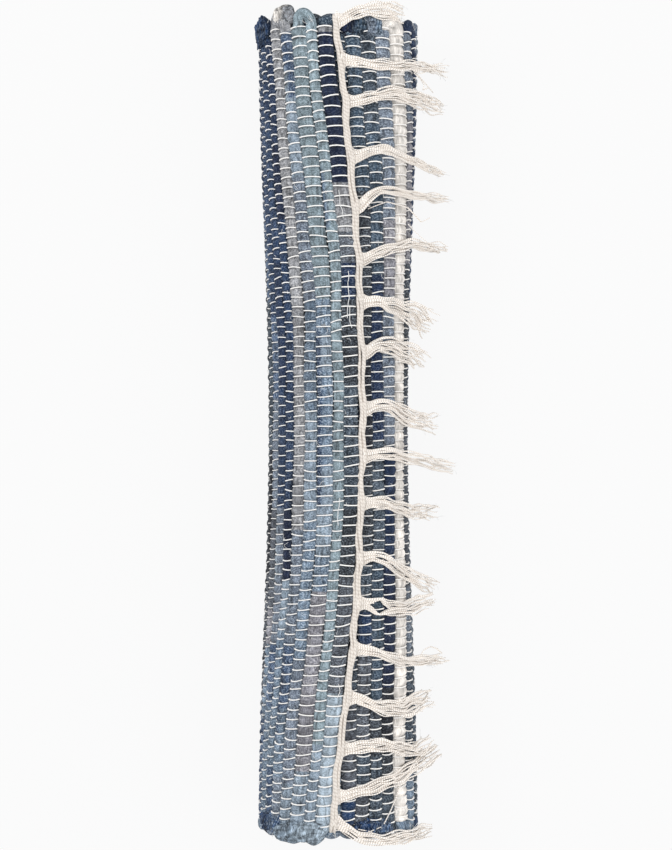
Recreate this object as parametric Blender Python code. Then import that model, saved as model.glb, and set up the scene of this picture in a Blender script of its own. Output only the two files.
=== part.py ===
"""A rag-woven denim runner rug, rolled up and lying on its side, with its knotted cotton fringe on top.

The roll's axis is Y, Z is up, and the origin is the middle of the flat strip that the roll lies on.
The cloth winds inwards from its free edge: over the left side, under the flattened bottom, up the right.
"winding" is the polar angle of a place on the cloth, in degrees, and keeps growing turn after turn.
"""

import math

import bmesh
import bpy
from mathutils import Vector

# The rug, in metres
RUG_WIDTH = 0.600  # across the weave, along the roll
RUG_LENGTH = 1.800  # of cloth, from header cord to header cord
CLOTH = 0.0045  # thickness of the woven rags
LAYER_GAP = 0.0005  # of air between two turns of cloth
CORE_RADIUS = 0.008  # of the hole down the middle of the roll
GAP = 0.0003  # between pieces that meet
LAYER_PITCH = CLOTH + LAYER_GAP  # from one turn of cloth to the next

# How the roll lies, in degrees
FLAT_HALF = 16.1  # half of the sector that its own weight flattens
EDGE_WINDING = 72.0  # of the free edge, half way along the roll
EDGE_BOW = 22.0  # how far the free edge falls back at the two ends
SAMPLE = 10.0  # between the points of a rolled outline

# The unrolling end and the bands of weft
FLAP_BANDS = 7  # bands of weft that unroll, of two or three rag picks each, with a hinge between them
ROLLED_BANDS = 20  # bands of weft in the part that stays rolled

# Fringe
HEADER_RADIUS = 0.0022
KNOT_RADIUS = 0.0034
KNOT_LIFT = 0.0004  # knot above the cloth under it
TASSEL_WIDE = 0.0090
TASSEL_THICK = 0.0050
TASSEL_LIFT = 0.0008  # bundle above the cloth under it
INNER_FRINGE = 0.030  # length tucked into the core
INNER_FRINGE_THICK = 0.0014
INNER_TASSEL_WIDE = 0.012

KNOT_INSET = 0.0045  # of the first and the last knot from the selvedges

# One line for each tassel: how far its knot strays from even spacing, how far its tip strays from
# its knot along the roll, the length that hangs free of the roll, and the winding where that starts.
TASSELS = (
    (0.0, 0.002, 0.016, 58.0),
    (0.0033, -0.0014, 0.053, 42.0),
    (0.005, 0.0, 0.049, 42.0),
    (0.0008, -0.005, 0.047, 42.0),
    (0.0016, 0.005, 0.052, 42.0),
    (0.0003, 0.008, 0.053, 42.0),
    (0.0021, -0.015, 0.035, 40.0),
    (-0.0001, -0.005, 0.029, 45.0),
    (-0.0044, -0.01, 0.04, 44.0),
    (-0.0026, -0.011, 0.058, 44.0),
    (-0.0069, -0.005, 0.044, 42.0),
    (-0.0071, -0.02, 0.04, 42.0),
    (-0.0023, -0.007, 0.036, 44.0),
    (-0.0066, -0.011, 0.052, 42.0),
    (-0.0088, 0.0, 0.037, 44.0),
    (-0.009, 0.003, 0.034, 46.0),
    (-0.0063, 0.019, 0.045, 44.0),
    (0.0085, -0.008, 0.037, 46.0),
)

# (colour, roughness) of each finish
FINISHES = {
    "indigo_denim": ((0.030, 0.070, 0.150), 0.90),
    "washed_denim": ((0.170, 0.260, 0.360), 0.92),
    "faded_teal_denim": ((0.300, 0.420, 0.460), 0.92),
    "grey_denim": ((0.330, 0.330, 0.350), 0.93),
    "charcoal_denim": ((0.060, 0.070, 0.090), 0.92),
    "natural_cotton": ((0.760, 0.700, 0.610), 0.95),
}
FLAP_FINISHES = (
    "faded_teal_denim",
    "washed_denim",
    "grey_denim",
    "indigo_denim",
    "indigo_denim",
    "washed_denim",
    "charcoal_denim",
)
ROLLED_FINISHES = ("washed_denim", "charcoal_denim", "grey_denim", "indigo_denim", "faded_teal_denim")


def in_flat(winding):
    """Degrees from the middle of the flattened sector, or None outside it."""
    away = (winding - 270.0 + 180.0) % 360.0 - 180.0
    return away if abs(away) <= FLAT_HALF + 1e-9 else None


def turned(winding):
    """Turns made since winding 0, counted only where the roll is round, so that its flat is level."""
    turns, part = divmod(winding, 360.0)
    start = 270.0 - FLAT_HALF
    counted = min(part, start) + max(part - start - 2 * FLAT_HALF, 0.0)
    return turns + counted / (360.0 - 2 * FLAT_HALF)


class Roll:
    """The spiral that the cloth follows, sized so that all of RUG_LENGTH is in it."""

    def __init__(self):
        low, high = CORE_RADIUS, CORE_RADIUS + 2 * math.sqrt(RUG_LENGTH * LAYER_PITCH)
        for _ in range(60):
            self.radius = (low + high) / 2
            self.last = self.inner_winding()
            if self.length(EDGE_WINDING, self.last) < RUG_LENGTH:
                low = self.radius
            else:
                high = self.radius
        self.height = self.rho(270.0) * math.cos(math.radians(FLAT_HALF))

    def rho(self, winding):
        """Radius of the cloth's outer face."""
        return self.radius - LAYER_PITCH * (turned(winding) - turned(EDGE_WINDING))

    def inner_winding(self):
        """Where the cloth's inner face comes down to the core's radius."""
        low, high = EDGE_WINDING, EDGE_WINDING + 360.0 * self.radius / LAYER_PITCH
        for _ in range(60):
            middle = (low + high) / 2
            if self.rho(middle) - CLOTH > CORE_RADIUS:
                low = middle
            else:
                high = middle
        return low

    def flattening(self, winding):
        """How much nearer the middle a place is because the roll's bottom is flat."""
        away = in_flat(winding)
        if away is None:
            return 1.0
        return math.cos(math.radians(FLAT_HALF)) / math.cos(math.radians(away))

    def reach(self, winding, depth):
        """Distance from the roll's middle to a place this far under the cloth's outer face."""
        return (self.rho(winding) - depth) * self.flattening(winding)

    def place(self, winding, depth, y=0.0):
        """The point at a winding, this far under the cloth's outer face."""
        angle, reach = math.radians(winding), self.reach(winding, depth)
        return Vector((reach * math.cos(angle), y, self.height + reach * math.sin(angle)))

    def length(self, start, end):
        """Length of the cloth's middle line between two windings, in steps of a few degrees."""
        steps = max(8, int((end - start) / 3.0))
        total = 0.0
        for step in range(steps):
            middle = start + (end - start) * (step + 0.5) / steps
            total += self.reach(middle, CLOTH / 2) * math.radians((end - start) / steps)
        return total

    def winding_after(self, start, distance):
        """The winding that lies this length of cloth inwards (or outwards, if negative) of start."""
        winding = start
        for _ in range(400):
            step = distance / 400
            winding += math.degrees(step / self.reach(winding, CLOTH / 2))
        return winding


ROLL = None


def edge_winding(y):
    """Winding of the free edge's header cord at a place along the roll: it bows."""
    return EDGE_WINDING + EDGE_BOW * (1.0 - math.cos(math.pi * y / RUG_WIDTH))


def as_degrees(distance, reach):
    """The angle that a length of cloth spans at this distance from the middle."""
    return math.degrees(distance / reach)


def finish(name):
    """The material of a finish, made the first time it is asked for."""
    if name in bpy.data.materials:
        return bpy.data.materials[name]
    colour, roughness = FINISHES[name]
    made = bpy.data.materials.new(name)
    made.use_nodes = True
    shader = made.node_tree.nodes["Principled BSDF"]
    shader.inputs["Base Color"].default_value = (*colour, 1.0)
    shader.inputs["Roughness"].default_value = roughness
    return made


def loft(name, rings, finish_name, origin=(0.0, 0.0, 0.0)):
    """One closed object through rings of equally many points, with its origin at a joint or at 0."""
    shape = bmesh.new()
    made = [[shape.verts.new(point - Vector(origin)) for point in ring] for ring in rings]
    count = len(made[0])
    for ring, following in zip(made, made[1:]):
        for i in range(count):
            j = (i + 1) % count
            shape.faces.new((ring[i], ring[j], following[j], following[i]))
    shape.faces.new(made[0])
    shape.faces.new(made[-1])
    bmesh.ops.recalc_face_normals(shape, faces=shape.faces)
    mesh = bpy.data.meshes.new(name)
    shape.to_mesh(mesh)
    shape.free()
    mesh.materials.append(finish(finish_name))
    node = bpy.data.objects.new(name, mesh)
    node.location = origin
    bpy.context.scene.collection.objects.link(node)
    return node


def windings(start, end):
    """The windings at which a band's outline has points: its ends, every SAMPLE, and the flat's corners."""
    found = {start, end}
    turn = math.floor(start / 360.0) - 1
    while turn * 360.0 < end:
        marks = [turn * 360.0 + SAMPLE * k for k in range(int(360.0 / SAMPLE))]
        marks += [turn * 360.0 + 270.0 + side * FLAT_HALF for side in (-1, 1)]
        found |= {mark for mark in marks if start + 1.0 < mark < end - 1.0}
        turn += 1
    return sorted(found)


def band_ring(start, end, marks, y):
    """The outline of a band of cloth across the roll at y."""
    inside = [start + (mark - marks[0]) / (marks[-1] - marks[0]) * (end - start) for mark in marks]
    outer = [ROLL.place(winding, 0.0, y) for winding in inside]
    inner = [ROLL.place(winding, CLOTH, y) for winding in reversed(inside)]
    return outer + inner


def straight_band(name, start, end, finish_name, origin=(0.0, 0.0, 0.0)):
    """A band of woven cloth between two windings, with half of the gap left at each end."""
    start += as_degrees(GAP / 2, ROLL.reach(start, CLOTH))
    end -= as_degrees(GAP / 2, ROLL.reach(end, CLOTH))
    marks = windings(start, end)
    rings = [band_ring(start, end, marks, y) for y in (-RUG_WIDTH / 2, RUG_WIDTH / 2)]
    return loft(name, rings, finish_name, origin)


def edge_stations():
    """Places along the roll that a bowed piece has a ring at."""
    count = 18
    return [RUG_WIDTH * (k / count - 0.5) for k in range(count + 1)]


def edge_band(name, end, finish_name, origin):
    """The last band of cloth, whose outer edge follows the bowed header cord."""
    end -= as_degrees(GAP / 2, ROLL.reach(end, CLOTH))
    cord = as_degrees(HEADER_RADIUS + GAP, ROLL.reach(EDGE_WINDING, CLOTH / 2))
    starts = [edge_winding(y) + cord for y in edge_stations()]
    marks = [k / 3 for k in range(4)]
    rings = [band_ring(start, end, marks, y) for start, y in zip(starts, edge_stations())]
    return loft(name, rings, finish_name, origin)


def header_cord(name, winding_at, depth, origin=(0.0, 0.0, 0.0)):
    """A round cotton cord along the roll, at the winding that winding_at gives for each place."""
    rings = []
    for y in edge_stations():
        middle = ROLL.place(winding_at(y), depth, y)
        rings.append(
            [
                middle + HEADER_RADIUS * Vector((math.cos(turn), 0.0, math.sin(turn)))
                for turn in (math.tau * k / 8 for k in range(8))
            ]
        )
    return loft(name, rings, "natural_cotton", origin)


def knot_along(number, stray):
    """Place along the roll of the knot with this number, counted from the +Y end."""
    spacing = (RUG_WIDTH - 2 * KNOT_INSET) / (len(TASSELS) - 1)
    return RUG_WIDTH / 2 - KNOT_INSET - number * spacing + stray


def knot_place(y):
    """Middle of the knot that stands against the header cord at y, on the cloth under it."""
    away = as_degrees(HEADER_RADIUS + GAP + KNOT_RADIUS, ROLL.reach(EDGE_WINDING, CLOTH / 2))
    winding = edge_winding(y) - away
    return winding, ROLL.place(winding + 360.0, -KNOT_LIFT - KNOT_RADIUS, y)


def tassel_line(knot_y, drift, free, leave):
    """Points from a knot along the cloth under it to where the tassel leaves it, and on to its tip."""
    winding, knot = knot_place(knot_y)
    lift = -TASSEL_LIFT - TASSEL_THICK / 2
    lying = [
        ROLL.place(winding + (leave - winding) * k / 4 + 360.0, lift, 0.0) for k in range(1, 5)
    ]
    heading = Vector((math.sin(math.radians(leave)), 0.0, -math.cos(math.radians(leave))))
    falling = [lying[-1] + heading * free * k / 4 for k in range(1, 5)]
    line = [knot, *lying, *falling]
    for step, point in enumerate(line):
        share = step / (len(line) - 1)
        point.y = knot_y + drift * share * share * (3 - 2 * share)
    return line


def tassel(name, knot_y, drift, free, leave):
    """A knotted bundle of warp ends as one solid: a round knot and a flat bundle, hinged at the knot."""
    line = tassel_line(knot_y, drift, free, leave)
    knot, forward = line[0], (line[1] - line[0]).normalized()
    rings = []
    for along in (-0.92, -0.6, 0.0, 0.55):
        size = KNOT_RADIUS * math.sqrt(1.0 - along * along)
        rings.append(cross_ring(knot + forward * KNOT_RADIUS * along, forward, size, size))
    for step in range(1, len(line)):
        ahead = line[min(step + 1, len(line) - 1)] - line[step - 1]
        share = step / (len(line) - 1)
        wide = TASSEL_WIDE / 2 * (0.72 + 0.28 * math.sin(math.pi * min(1.0, share * 1.3)))
        thick = TASSEL_THICK / 2 * (1.0 - 0.3 * share)
        rings.append(cross_ring(line[step], ahead.normalized(), wide, thick))
    return loft(name, rings, "natural_cotton", knot)


def cross_ring(middle, forward, wide, thick):
    """An oval ring of eight points across a tassel that heads forward."""
    side = Vector((0.0, 1.0, 0.0))
    up = forward.cross(side).normalized()
    return [
        middle + side * wide * math.cos(turn) + up * thick * math.sin(turn)
        for turn in (math.tau * k / 8 for k in range(8))
    ]


def inner_fringe(name, start):
    """The other end's fringe, tucked into the core: a strip of warp ends that parts into tassels."""
    shape = bmesh.new()
    count = len(TASSELS)
    cell = RUG_WIDTH / count
    root = start + as_degrees(INNER_FRINGE / 5, CORE_RADIUS)
    edges = []
    for k in range(count):
        middle = -RUG_WIDTH / 2 + cell * (k + 0.5)
        edges += [middle - INNER_TASSEL_WIDE / 2, middle + INNER_TASSEL_WIDE / 2]
    edges = [-RUG_WIDTH / 2, *edges, RUG_WIDTH / 2]

    def column(y, winding):
        depths = (0.0, INNER_FRINGE_THICK)
        return [shape.verts.new(core_place(winding, depth, y)) for depth in depths]

    near = [column(y, start) for y in edges]
    far = [column(y, root) for y in edges]
    for k in range(len(edges) - 1):
        for side in (0, 1):
            shape.faces.new((near[k][side], near[k + 1][side], far[k + 1][side], far[k][side]))
        shape.faces.new((near[k][0], near[k + 1][0], near[k + 1][1], near[k][1]))
        if k % 2 == 0:
            shape.faces.new((far[k][0], far[k + 1][0], far[k + 1][1], far[k][1]))
    for k in (0, len(edges) - 1):
        shape.faces.new((near[k][0], near[k][1], far[k][1], far[k][0]))
    step = as_degrees(INNER_FRINGE / 5, CORE_RADIUS)
    for k in range(1, len(edges) - 1, 2):
        ring = [far[k][0], far[k + 1][0], far[k + 1][1], far[k][1]]
        for along in range(1, 5):
            winding = root + step * along
            following = [*column(edges[k], winding), *column(edges[k + 1], winding)]
            following = [following[0], following[2], following[3], following[1]]
            for i in range(4):
                j = (i + 1) % 4
                shape.faces.new((ring[i], ring[j], following[j], following[i]))
            ring = following
        shape.faces.new(ring)
    bmesh.ops.recalc_face_normals(shape, faces=shape.faces)
    mesh = bpy.data.meshes.new(name)
    shape.to_mesh(mesh)
    shape.free()
    mesh.materials.append(finish("natural_cotton"))
    node = bpy.data.objects.new(name, mesh)
    bpy.context.scene.collection.objects.link(node)
    return node


def core_place(winding, depth, y):
    """A point on the fringe that lines the core: it hugs the cloth's inner face and turns in as it goes."""
    inwards = LAYER_PITCH * (winding - ROLL.last) / 360.0
    reach = CORE_RADIUS - 2 * GAP - depth - inwards * 0.5
    angle = math.radians(winding)
    return Vector((reach * math.cos(angle), y, ROLL.height + reach * math.sin(angle)))


def hinge_windings():
    """Windings of the unrolling hinges, from the flat's left end out towards the free edge."""
    start = 270.0 - FLAT_HALF
    reach = ROLL.length(EDGE_WINDING, start)
    return [ROLL.winding_after(start, -reach * k / FLAP_BANDS) for k in range(FLAP_BANDS)]


def build():
    """Makes every piece."""
    hinges = hinge_windings()
    pivots = [ROLL.place(winding, 0.0) for winding in hinges]
    for k, winding in enumerate(hinges):
        number = FLAP_BANDS - k
        finish_name = FLAP_FINISHES[(number - 1) % len(FLAP_FINISHES)]
        name = f"weft_band_{number:02d}"
        if number == 1:
            edge_band(name, winding, finish_name, pivots[k])
        else:
            straight_band(name, hinges[k + 1], winding, finish_name, pivots[k])
    header_cord("header_cord", edge_winding, CLOTH - HEADER_RADIUS, pivots[-1])
    for k, (stray, drift, free, leave) in enumerate(TASSELS):
        tassel(f"tassel_{k + 1:02d}", knot_along(k, stray), drift, free, leave)

    start, left = hinges[0], ROLL.length(hinges[0], ROLL.last)
    for k in range(ROLLED_BANDS):
        end = ROLL.winding_after(start, left / ROLLED_BANDS) if k < ROLLED_BANDS - 1 else ROLL.last
        name = f"weft_band_{FLAP_BANDS + k + 1:02d}"
        straight_band(name, start, end, ROLLED_FINISHES[k % len(ROLLED_FINISHES)])
        start = end
    cord = as_degrees(HEADER_RADIUS + GAP, ROLL.reach(ROLL.last, CLOTH / 2))
    header_cord("inner_header_cord", lambda y: ROLL.last + cord, HEADER_RADIUS)
    inner_fringe("inner_fringe", ROLL.last + 3.0 * cord)


def main():
    """Clears the scene and builds the rolled rug."""
    global ROLL
    for old in list(bpy.data.objects):
        bpy.data.objects.remove(old)
    ROLL = Roll()
    build()


main()
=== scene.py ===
"""A hand-woven rag rug of old denim, rolled up: rag weft, cotton warp, header cord and knotted fringe.

Everything is worked out on the flat cloth first and then rolled up. A place on the cloth is (s, y, n): s is
the length of cloth from the free end's header cord, y the place across the weave, n the height above the
cloth's middle. A "winding" is the polar angle of a place round the roll in degrees, growing turn after turn.
"""

import logging
import math
from dataclasses import dataclass
from enum import Enum

import bmesh
import bpy
import numpy as np
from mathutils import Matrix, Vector


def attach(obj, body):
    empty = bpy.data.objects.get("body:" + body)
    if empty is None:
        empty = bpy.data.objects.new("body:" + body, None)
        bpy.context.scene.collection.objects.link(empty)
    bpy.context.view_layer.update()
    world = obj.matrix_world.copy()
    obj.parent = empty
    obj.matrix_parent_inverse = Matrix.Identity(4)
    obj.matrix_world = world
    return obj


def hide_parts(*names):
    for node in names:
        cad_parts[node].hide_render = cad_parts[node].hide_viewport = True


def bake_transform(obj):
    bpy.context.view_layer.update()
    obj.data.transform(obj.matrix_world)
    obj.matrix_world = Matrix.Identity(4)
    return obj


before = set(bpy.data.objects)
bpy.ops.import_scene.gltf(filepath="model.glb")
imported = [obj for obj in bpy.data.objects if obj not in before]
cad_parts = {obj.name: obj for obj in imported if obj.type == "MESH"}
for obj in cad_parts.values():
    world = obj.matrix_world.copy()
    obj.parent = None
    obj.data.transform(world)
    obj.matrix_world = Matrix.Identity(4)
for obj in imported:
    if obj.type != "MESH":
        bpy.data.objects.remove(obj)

LOG = logging.getLogger("runner_rug")
MM = 0.001
UV_UNIT = 0.010  # one unit of a strip's or a yarn's UV map is 10 mm of it
UV_MM = UV_UNIT / MM
WAVE_PACE = 3.2  # ridges that a wave texture of scale 1 draws in one unit


def linear(code: str) -> tuple[float, float, float]:
    """Turns an sRGB hex colour to linear.

    Args:
        code: the colour as "#RRGGBB".

    Returns:
        The colour's linear red, green and blue.
    """
    parts = [int(code[k : k + 2], 16) / 255.0 for k in (1, 3, 5)]
    return tuple(c / 12.92 if c <= 0.04045 else ((c + 0.055) / 1.055) ** 2.4 for c in parts)


def smooth(values: np.ndarray) -> np.ndarray:
    """Eases values from 0 to 1, with no slope at either end."""
    held = np.clip(values, 0.0, 1.0)
    return held * held * (3.0 - 2.0 * held)


def drift(rng: np.random.Generator, places: np.ndarray, step: float) -> np.ndarray:
    """A slowly wandering value along a line.

    Args:
        rng: where the random numbers come from.
        places: places along the line, in metres.
        step: length over which the value changes, in metres.

    Returns:
        One value for each place, mostly between -1 and 1.
    """
    low = float(places.min())
    knots = rng.normal(0.0, 0.6, int((float(places.max()) - low) / step) + 4)
    at = (places - low) / step
    index = at.astype(int)
    share = smooth(at - index)
    return knots[index] * (1.0 - share) + knots[index + 1] * share


def drifts(rng: np.random.Generator, places: np.ndarray, step: float, count: int) -> np.ndarray:
    """Several wandering values side by side, as (place, value)."""
    return np.stack([drift(rng, places, step) for _ in range(count)], axis=1)


def outline(around: int, across: float, upward: float) -> tuple[np.ndarray, np.ndarray]:
    """A round outline pressed towards a rectangle.

    Args:
        around: how many points it has.
        across: power of its width; 1 is round and less is squarer.
        upward: power of its height.

    Returns:
        The points' places across and upward, -1 to 1.
    """
    angle = math.tau * np.arange(around) / around
    wide, high = np.cos(angle), np.sin(angle)
    return np.sign(wide) * np.abs(wide) ** across, np.sign(high) * np.abs(high) ** upward


def mesh_of(name: str, shape: bmesh.types.BMesh) -> bpy.types.Mesh:
    """Turns a bmesh into a mesh and frees it."""
    mesh = bpy.data.meshes.new(name)
    shape.to_mesh(mesh)
    shape.free()
    return mesh


def put(name: str, data: bpy.types.ID) -> bpy.types.Object:
    """Puts a mesh, a light or a camera into the scene as an object."""
    made = bpy.data.objects.new(name, data)
    bpy.context.scene.collection.objects.link(made)
    return made


# ---------------------------------------------------------------- finishes


@dataclass(frozen=True)
class RagCloth:
    """A torn strip of old cloth.

    Args:
        shade: main colour, sRGB hex.
        fleck: how much of the pale core of its yarns shows, 0 to 1.
        denim: whether it is denim twill; if not it is plain cotton.
    """

    shade: str
    fleck: float
    denim: bool = True


class Rag(Enum):
    """The cloths that the rug is woven from."""

    INDIGO = RagCloth("#183459", 0.28)
    MIDNIGHT = RagCloth("#16223E", 0.12)
    NAVY = RagCloth("#12284A", 0.20)
    MID_BLUE = RagCloth("#40587A", 0.62)
    WASHED = RagCloth("#687C91", 0.75)
    PALE_BLUE = RagCloth("#8898A7", 0.65)
    ICE = RagCloth("#A9B8C4", 0.35)
    TEAL = RagCloth("#87989F", 0.38)
    SLATE_TEAL = RagCloth("#37495A", 0.32)
    TAUPE = RagCloth("#999A9E", 0.40, False)
    MAUVE = RagCloth("#8B8A92", 0.35, False)
    GREY_BLUE = RagCloth("#6F7989", 0.70)
    ASH = RagCloth("#54575F", 0.35)
    SLATE = RagCloth("#3A4653", 0.40)
    CHARCOAL = RagCloth("#2E3239", 0.30)
    BLACK = RagCloth("#1F2027", 0.12)
    CREAM = RagCloth("#E5DFD8", 0.04, False)


class Nodes:
    """Builds one material's nodes."""

    RANGE = ("Value", "From Min", "From Max", "To Min", "To Max")
    NOISE = ("Vector", "Scale", "Detail", "Roughness")

    def __init__(self, name: str) -> None:
        """Starts a material, which comes with a Principled BSDF."""
        self.material = bpy.data.materials.new(name)
        self.material.use_nodes = True
        self.tree = self.material.node_tree

    def _feed(self, node: bpy.types.Node, inputs: dict) -> None:
        """Sets a node's inputs to values, or joins them to output sockets."""
        for key, value in inputs.items():
            if isinstance(value, bpy.types.NodeSocket):
                self.tree.links.new(value, node.inputs[key])
            else:
                node.inputs[key].default_value = value

    def add(self, kind: str, inputs: dict, out: int | str = 0, **settings: object) -> bpy.types.NodeSocket:
        """Adds a node.

        Args:
            kind: the node's type name, after "ShaderNode".
            inputs: values or output sockets, by the name or number of the input.
            out: the name or number of the output that is wanted.
            **settings: the node's own properties.

        Returns:
            That output.
        """
        node = self.tree.nodes.new(f"ShaderNode{kind}")
        for key, value in settings.items():
            setattr(node, key, value)
        self._feed(node, inputs)
        return node.outputs[out]

    def add_each(self, kind: str, names: tuple[str, ...], *rows: tuple) -> list[bpy.types.NodeSocket]:
        """Adds nodes of one kind, one for each row of inputs, and gives their outputs."""
        return [self.add(kind, dict(zip(names, row))) for row in rows]

    def surface(self, inputs: dict) -> bpy.types.Material:
        """Feeds the Principled BSDF and gives the finished material."""
        self._feed(self.tree.nodes["Principled BSDF"], inputs)
        return self.material


@dataclass(frozen=True)
class RagFinish:
    """Washed and worn rag cloth: matt, hairy, mottled where its dye has gone. Thin lengthwise creases are
    painted on as dark lines of shade.

    The colour of each strip, with its painted shade, is painted on it as the attribute "rag", with its pale
    flecks' share as alpha.
    A strip's UV runs along it, so its weave follows every fold.
    """

    name: str
    rib_mm: float  # between two ribs of the weave, drawn coarser than the real 0.5 mm so that it shows
    slant: float  # of the ribs, in radians: denim's twill runs across, plain cloth's runs along
    fleck_mm: float
    pale: str = "#B4C0CB"

    def build(self) -> bpy.types.Material:
        """Makes the material."""
        n = Nodes(self.name)
        uv = n.add("UVMap", {}, uv_map="strip")
        dye = n.add("Attribute", {}, "Color", attribute_name="rag")
        flecks = dye.node.outputs["Alpha"]
        turned = n.add("Mapping", {"Vector": uv, "Rotation": (0.0, 0.0, self.slant)})
        stretched = n.add("Mapping", {"Vector": uv, "Scale": (1.0, 0.14, 1.0)})
        scale = UV_MM / self.rib_mm / WAVE_PACE
        bands = {"Vector": turned, "Scale": scale, "Distortion": 1.6, "Detail": 2.0}
        rib = n.add("TexWave", bands, wave_type="BANDS")
        fleck, slub, crease_shade_noise, cloud = n.add_each(
            "TexNoise",
            n.NOISE,
            (uv, UV_MM / self.fleck_mm, 3.0, 0.7),
            (stretched, UV_MM / 1.5, 2.0, 0.5),
            (stretched, UV_MM / 4.2, 1.0, 0.5),
            (uv, UV_MM / 7.0, 2.0, 0.5),
        )
        line = n.add("Math", {0: crease_shade_noise, 1: 0.5}, operation="SUBTRACT")
        line = n.add("Math", {0: line}, operation="ABSOLUTE")
        least = n.add("MapRange", {"Value": flecks, "From Max": 0.3, "To Min": 0.95, "To Max": 0.45})
        spots, rough, tone, *others = n.add_each(
            "MapRange",
            n.RANGE,
            (fleck, 0.49, 0.64, 0.0, 1.0),
            (fleck, 0.0, 1.0, 0.82, 0.97),
            (rib, 0.0, 1.0, 0.82, 1.14),
            (fleck, 0.34, 0.52, least, 1.0),
            # painted shade: thin dark lines along the strip where it creases
            (line, 0.0, 0.03, least, 1.0),
            (slub, 0.32, 0.68, 0.74, 1.26),
            (cloud, 0.3, 0.7, 0.78, 1.22),
        )
        for other in others:
            tone = n.add("Math", {0: tone, 1: other}, operation="MULTIPLY")
        share = n.add("Math", {0: spots, 1: flecks}, operation="MULTIPLY")
        pale = (*linear(self.pale), 1.0)
        worn = n.add("Mix", {"Factor": share, "A": dye, "B": pale}, "Result", data_type="RGBA")
        shade = n.add("VectorMath", {0: worn, "Scale": tone}, operation="SCALE")
        high = n.add("Math", {0: rib, 1: fleck}, operation="ADD")
        high = n.add("Math", {0: high, 1: slub}, operation="ADD")
        bump = n.add("Bump", {"Strength": 0.55, "Distance": 0.35 * MM, "Height": high})
        return n.surface(
            {
                "Base Color": shade,
                "Roughness": rough,
                "Normal": bump,
                "Sheen Weight": 0.04,
                "Sheen Roughness": 0.6,
                "Specular IOR Level": 0.12,
            }
        )


@dataclass(frozen=True)
class SpunFinish:
    """Undyed cotton yarn: soft, matt, its plies showing as slanting stripes with painted shade in the hollows
    between them.
    """

    name: str
    shade: str
    hollow_shade: str  # painted shade down between the plies
    ply_mm: float  # along the yarn, from one ply to the next

    def build(self) -> bpy.types.Material:
        """Makes the material."""
        n = Nodes(self.name)
        uv = n.add("UVMap", {}, uv_map="strip")
        turned = n.add("Mapping", {"Vector": uv, "Rotation": (0.0, 0.0, math.radians(-62.0))})
        scale = UV_MM / self.ply_mm / WAVE_PACE
        bands = {"Vector": turned, "Scale": scale, "Distortion": 0.8, "Detail": 1.0}
        ply = n.add("TexWave", bands, wave_type="BANDS")
        hair, patch = n.add_each(
            "TexNoise", n.NOISE, (uv, UV_MM / 0.5, 3.0, 0.7), (uv, UV_MM / 14.0, 1.0, 0.5)
        )
        lit, grain, deep, rough = n.add_each(
            "MapRange",
            n.RANGE,
            (ply, 0.1, 0.6, 0.0, 1.0),
            (hair, 0.0, 1.0, 0.90, 1.10),
            (patch, 0.0, 1.0, 0.92, 1.08),
            (hair, 0.0, 1.0, 0.80, 0.96),
        )
        hollow_shade, top = (*linear(self.hollow_shade), 1.0), (*linear(self.shade), 1.0)
        # painted shade: the hollow colour darkens the grooves between the plies
        body = n.add("Mix", {"Factor": lit, "A": hollow_shade, "B": top}, "Result", data_type="RGBA")
        tone = n.add("Math", {0: grain, 1: deep}, operation="MULTIPLY")
        shade = n.add("VectorMath", {0: body, "Scale": tone}, operation="SCALE")
        high = n.add("Math", {0: ply, 1: hair}, operation="ADD")
        bump = n.add("Bump", {"Strength": 0.35, "Distance": 0.15 * MM, "Height": high})
        return n.surface(
            {
                "Base Color": shade,
                "Roughness": rough,
                "Normal": bump,
                "Sheen Weight": 0.10,
                "Sheen Roughness": 0.5,
                "Specular IOR Level": 0.25,
            }
        )


class Palette:
    """The rug's materials, made once."""

    def __init__(self) -> None:
        """Makes every material."""
        self.denim = RagFinish("washed denim rag", 0.9, math.radians(48.0), 1.1).build()
        self.plain = RagFinish("plain cotton rag", 0.8, 0.0, 1.4, "#D2D0CE").build()
        self.warp = SpunFinish("cotton warp yarn", "#FFFDFA", "#EFEAE4", 0.9).build()
        self.cord = SpunFinish("unbleached cotton cord", "#FBF5EE", "#CDC2B6", 1.7).build()
        self.header = SpunFinish("header cord", "#DFD7CE", "#CCC3B9", 2.4).build()
        self.lint = SpunFinish("loose cotton fibre", "#F2F0EC", "#D5D8DB", 1.0).build()


# ---------------------------------------------------------------- the rolled cloth


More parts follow.
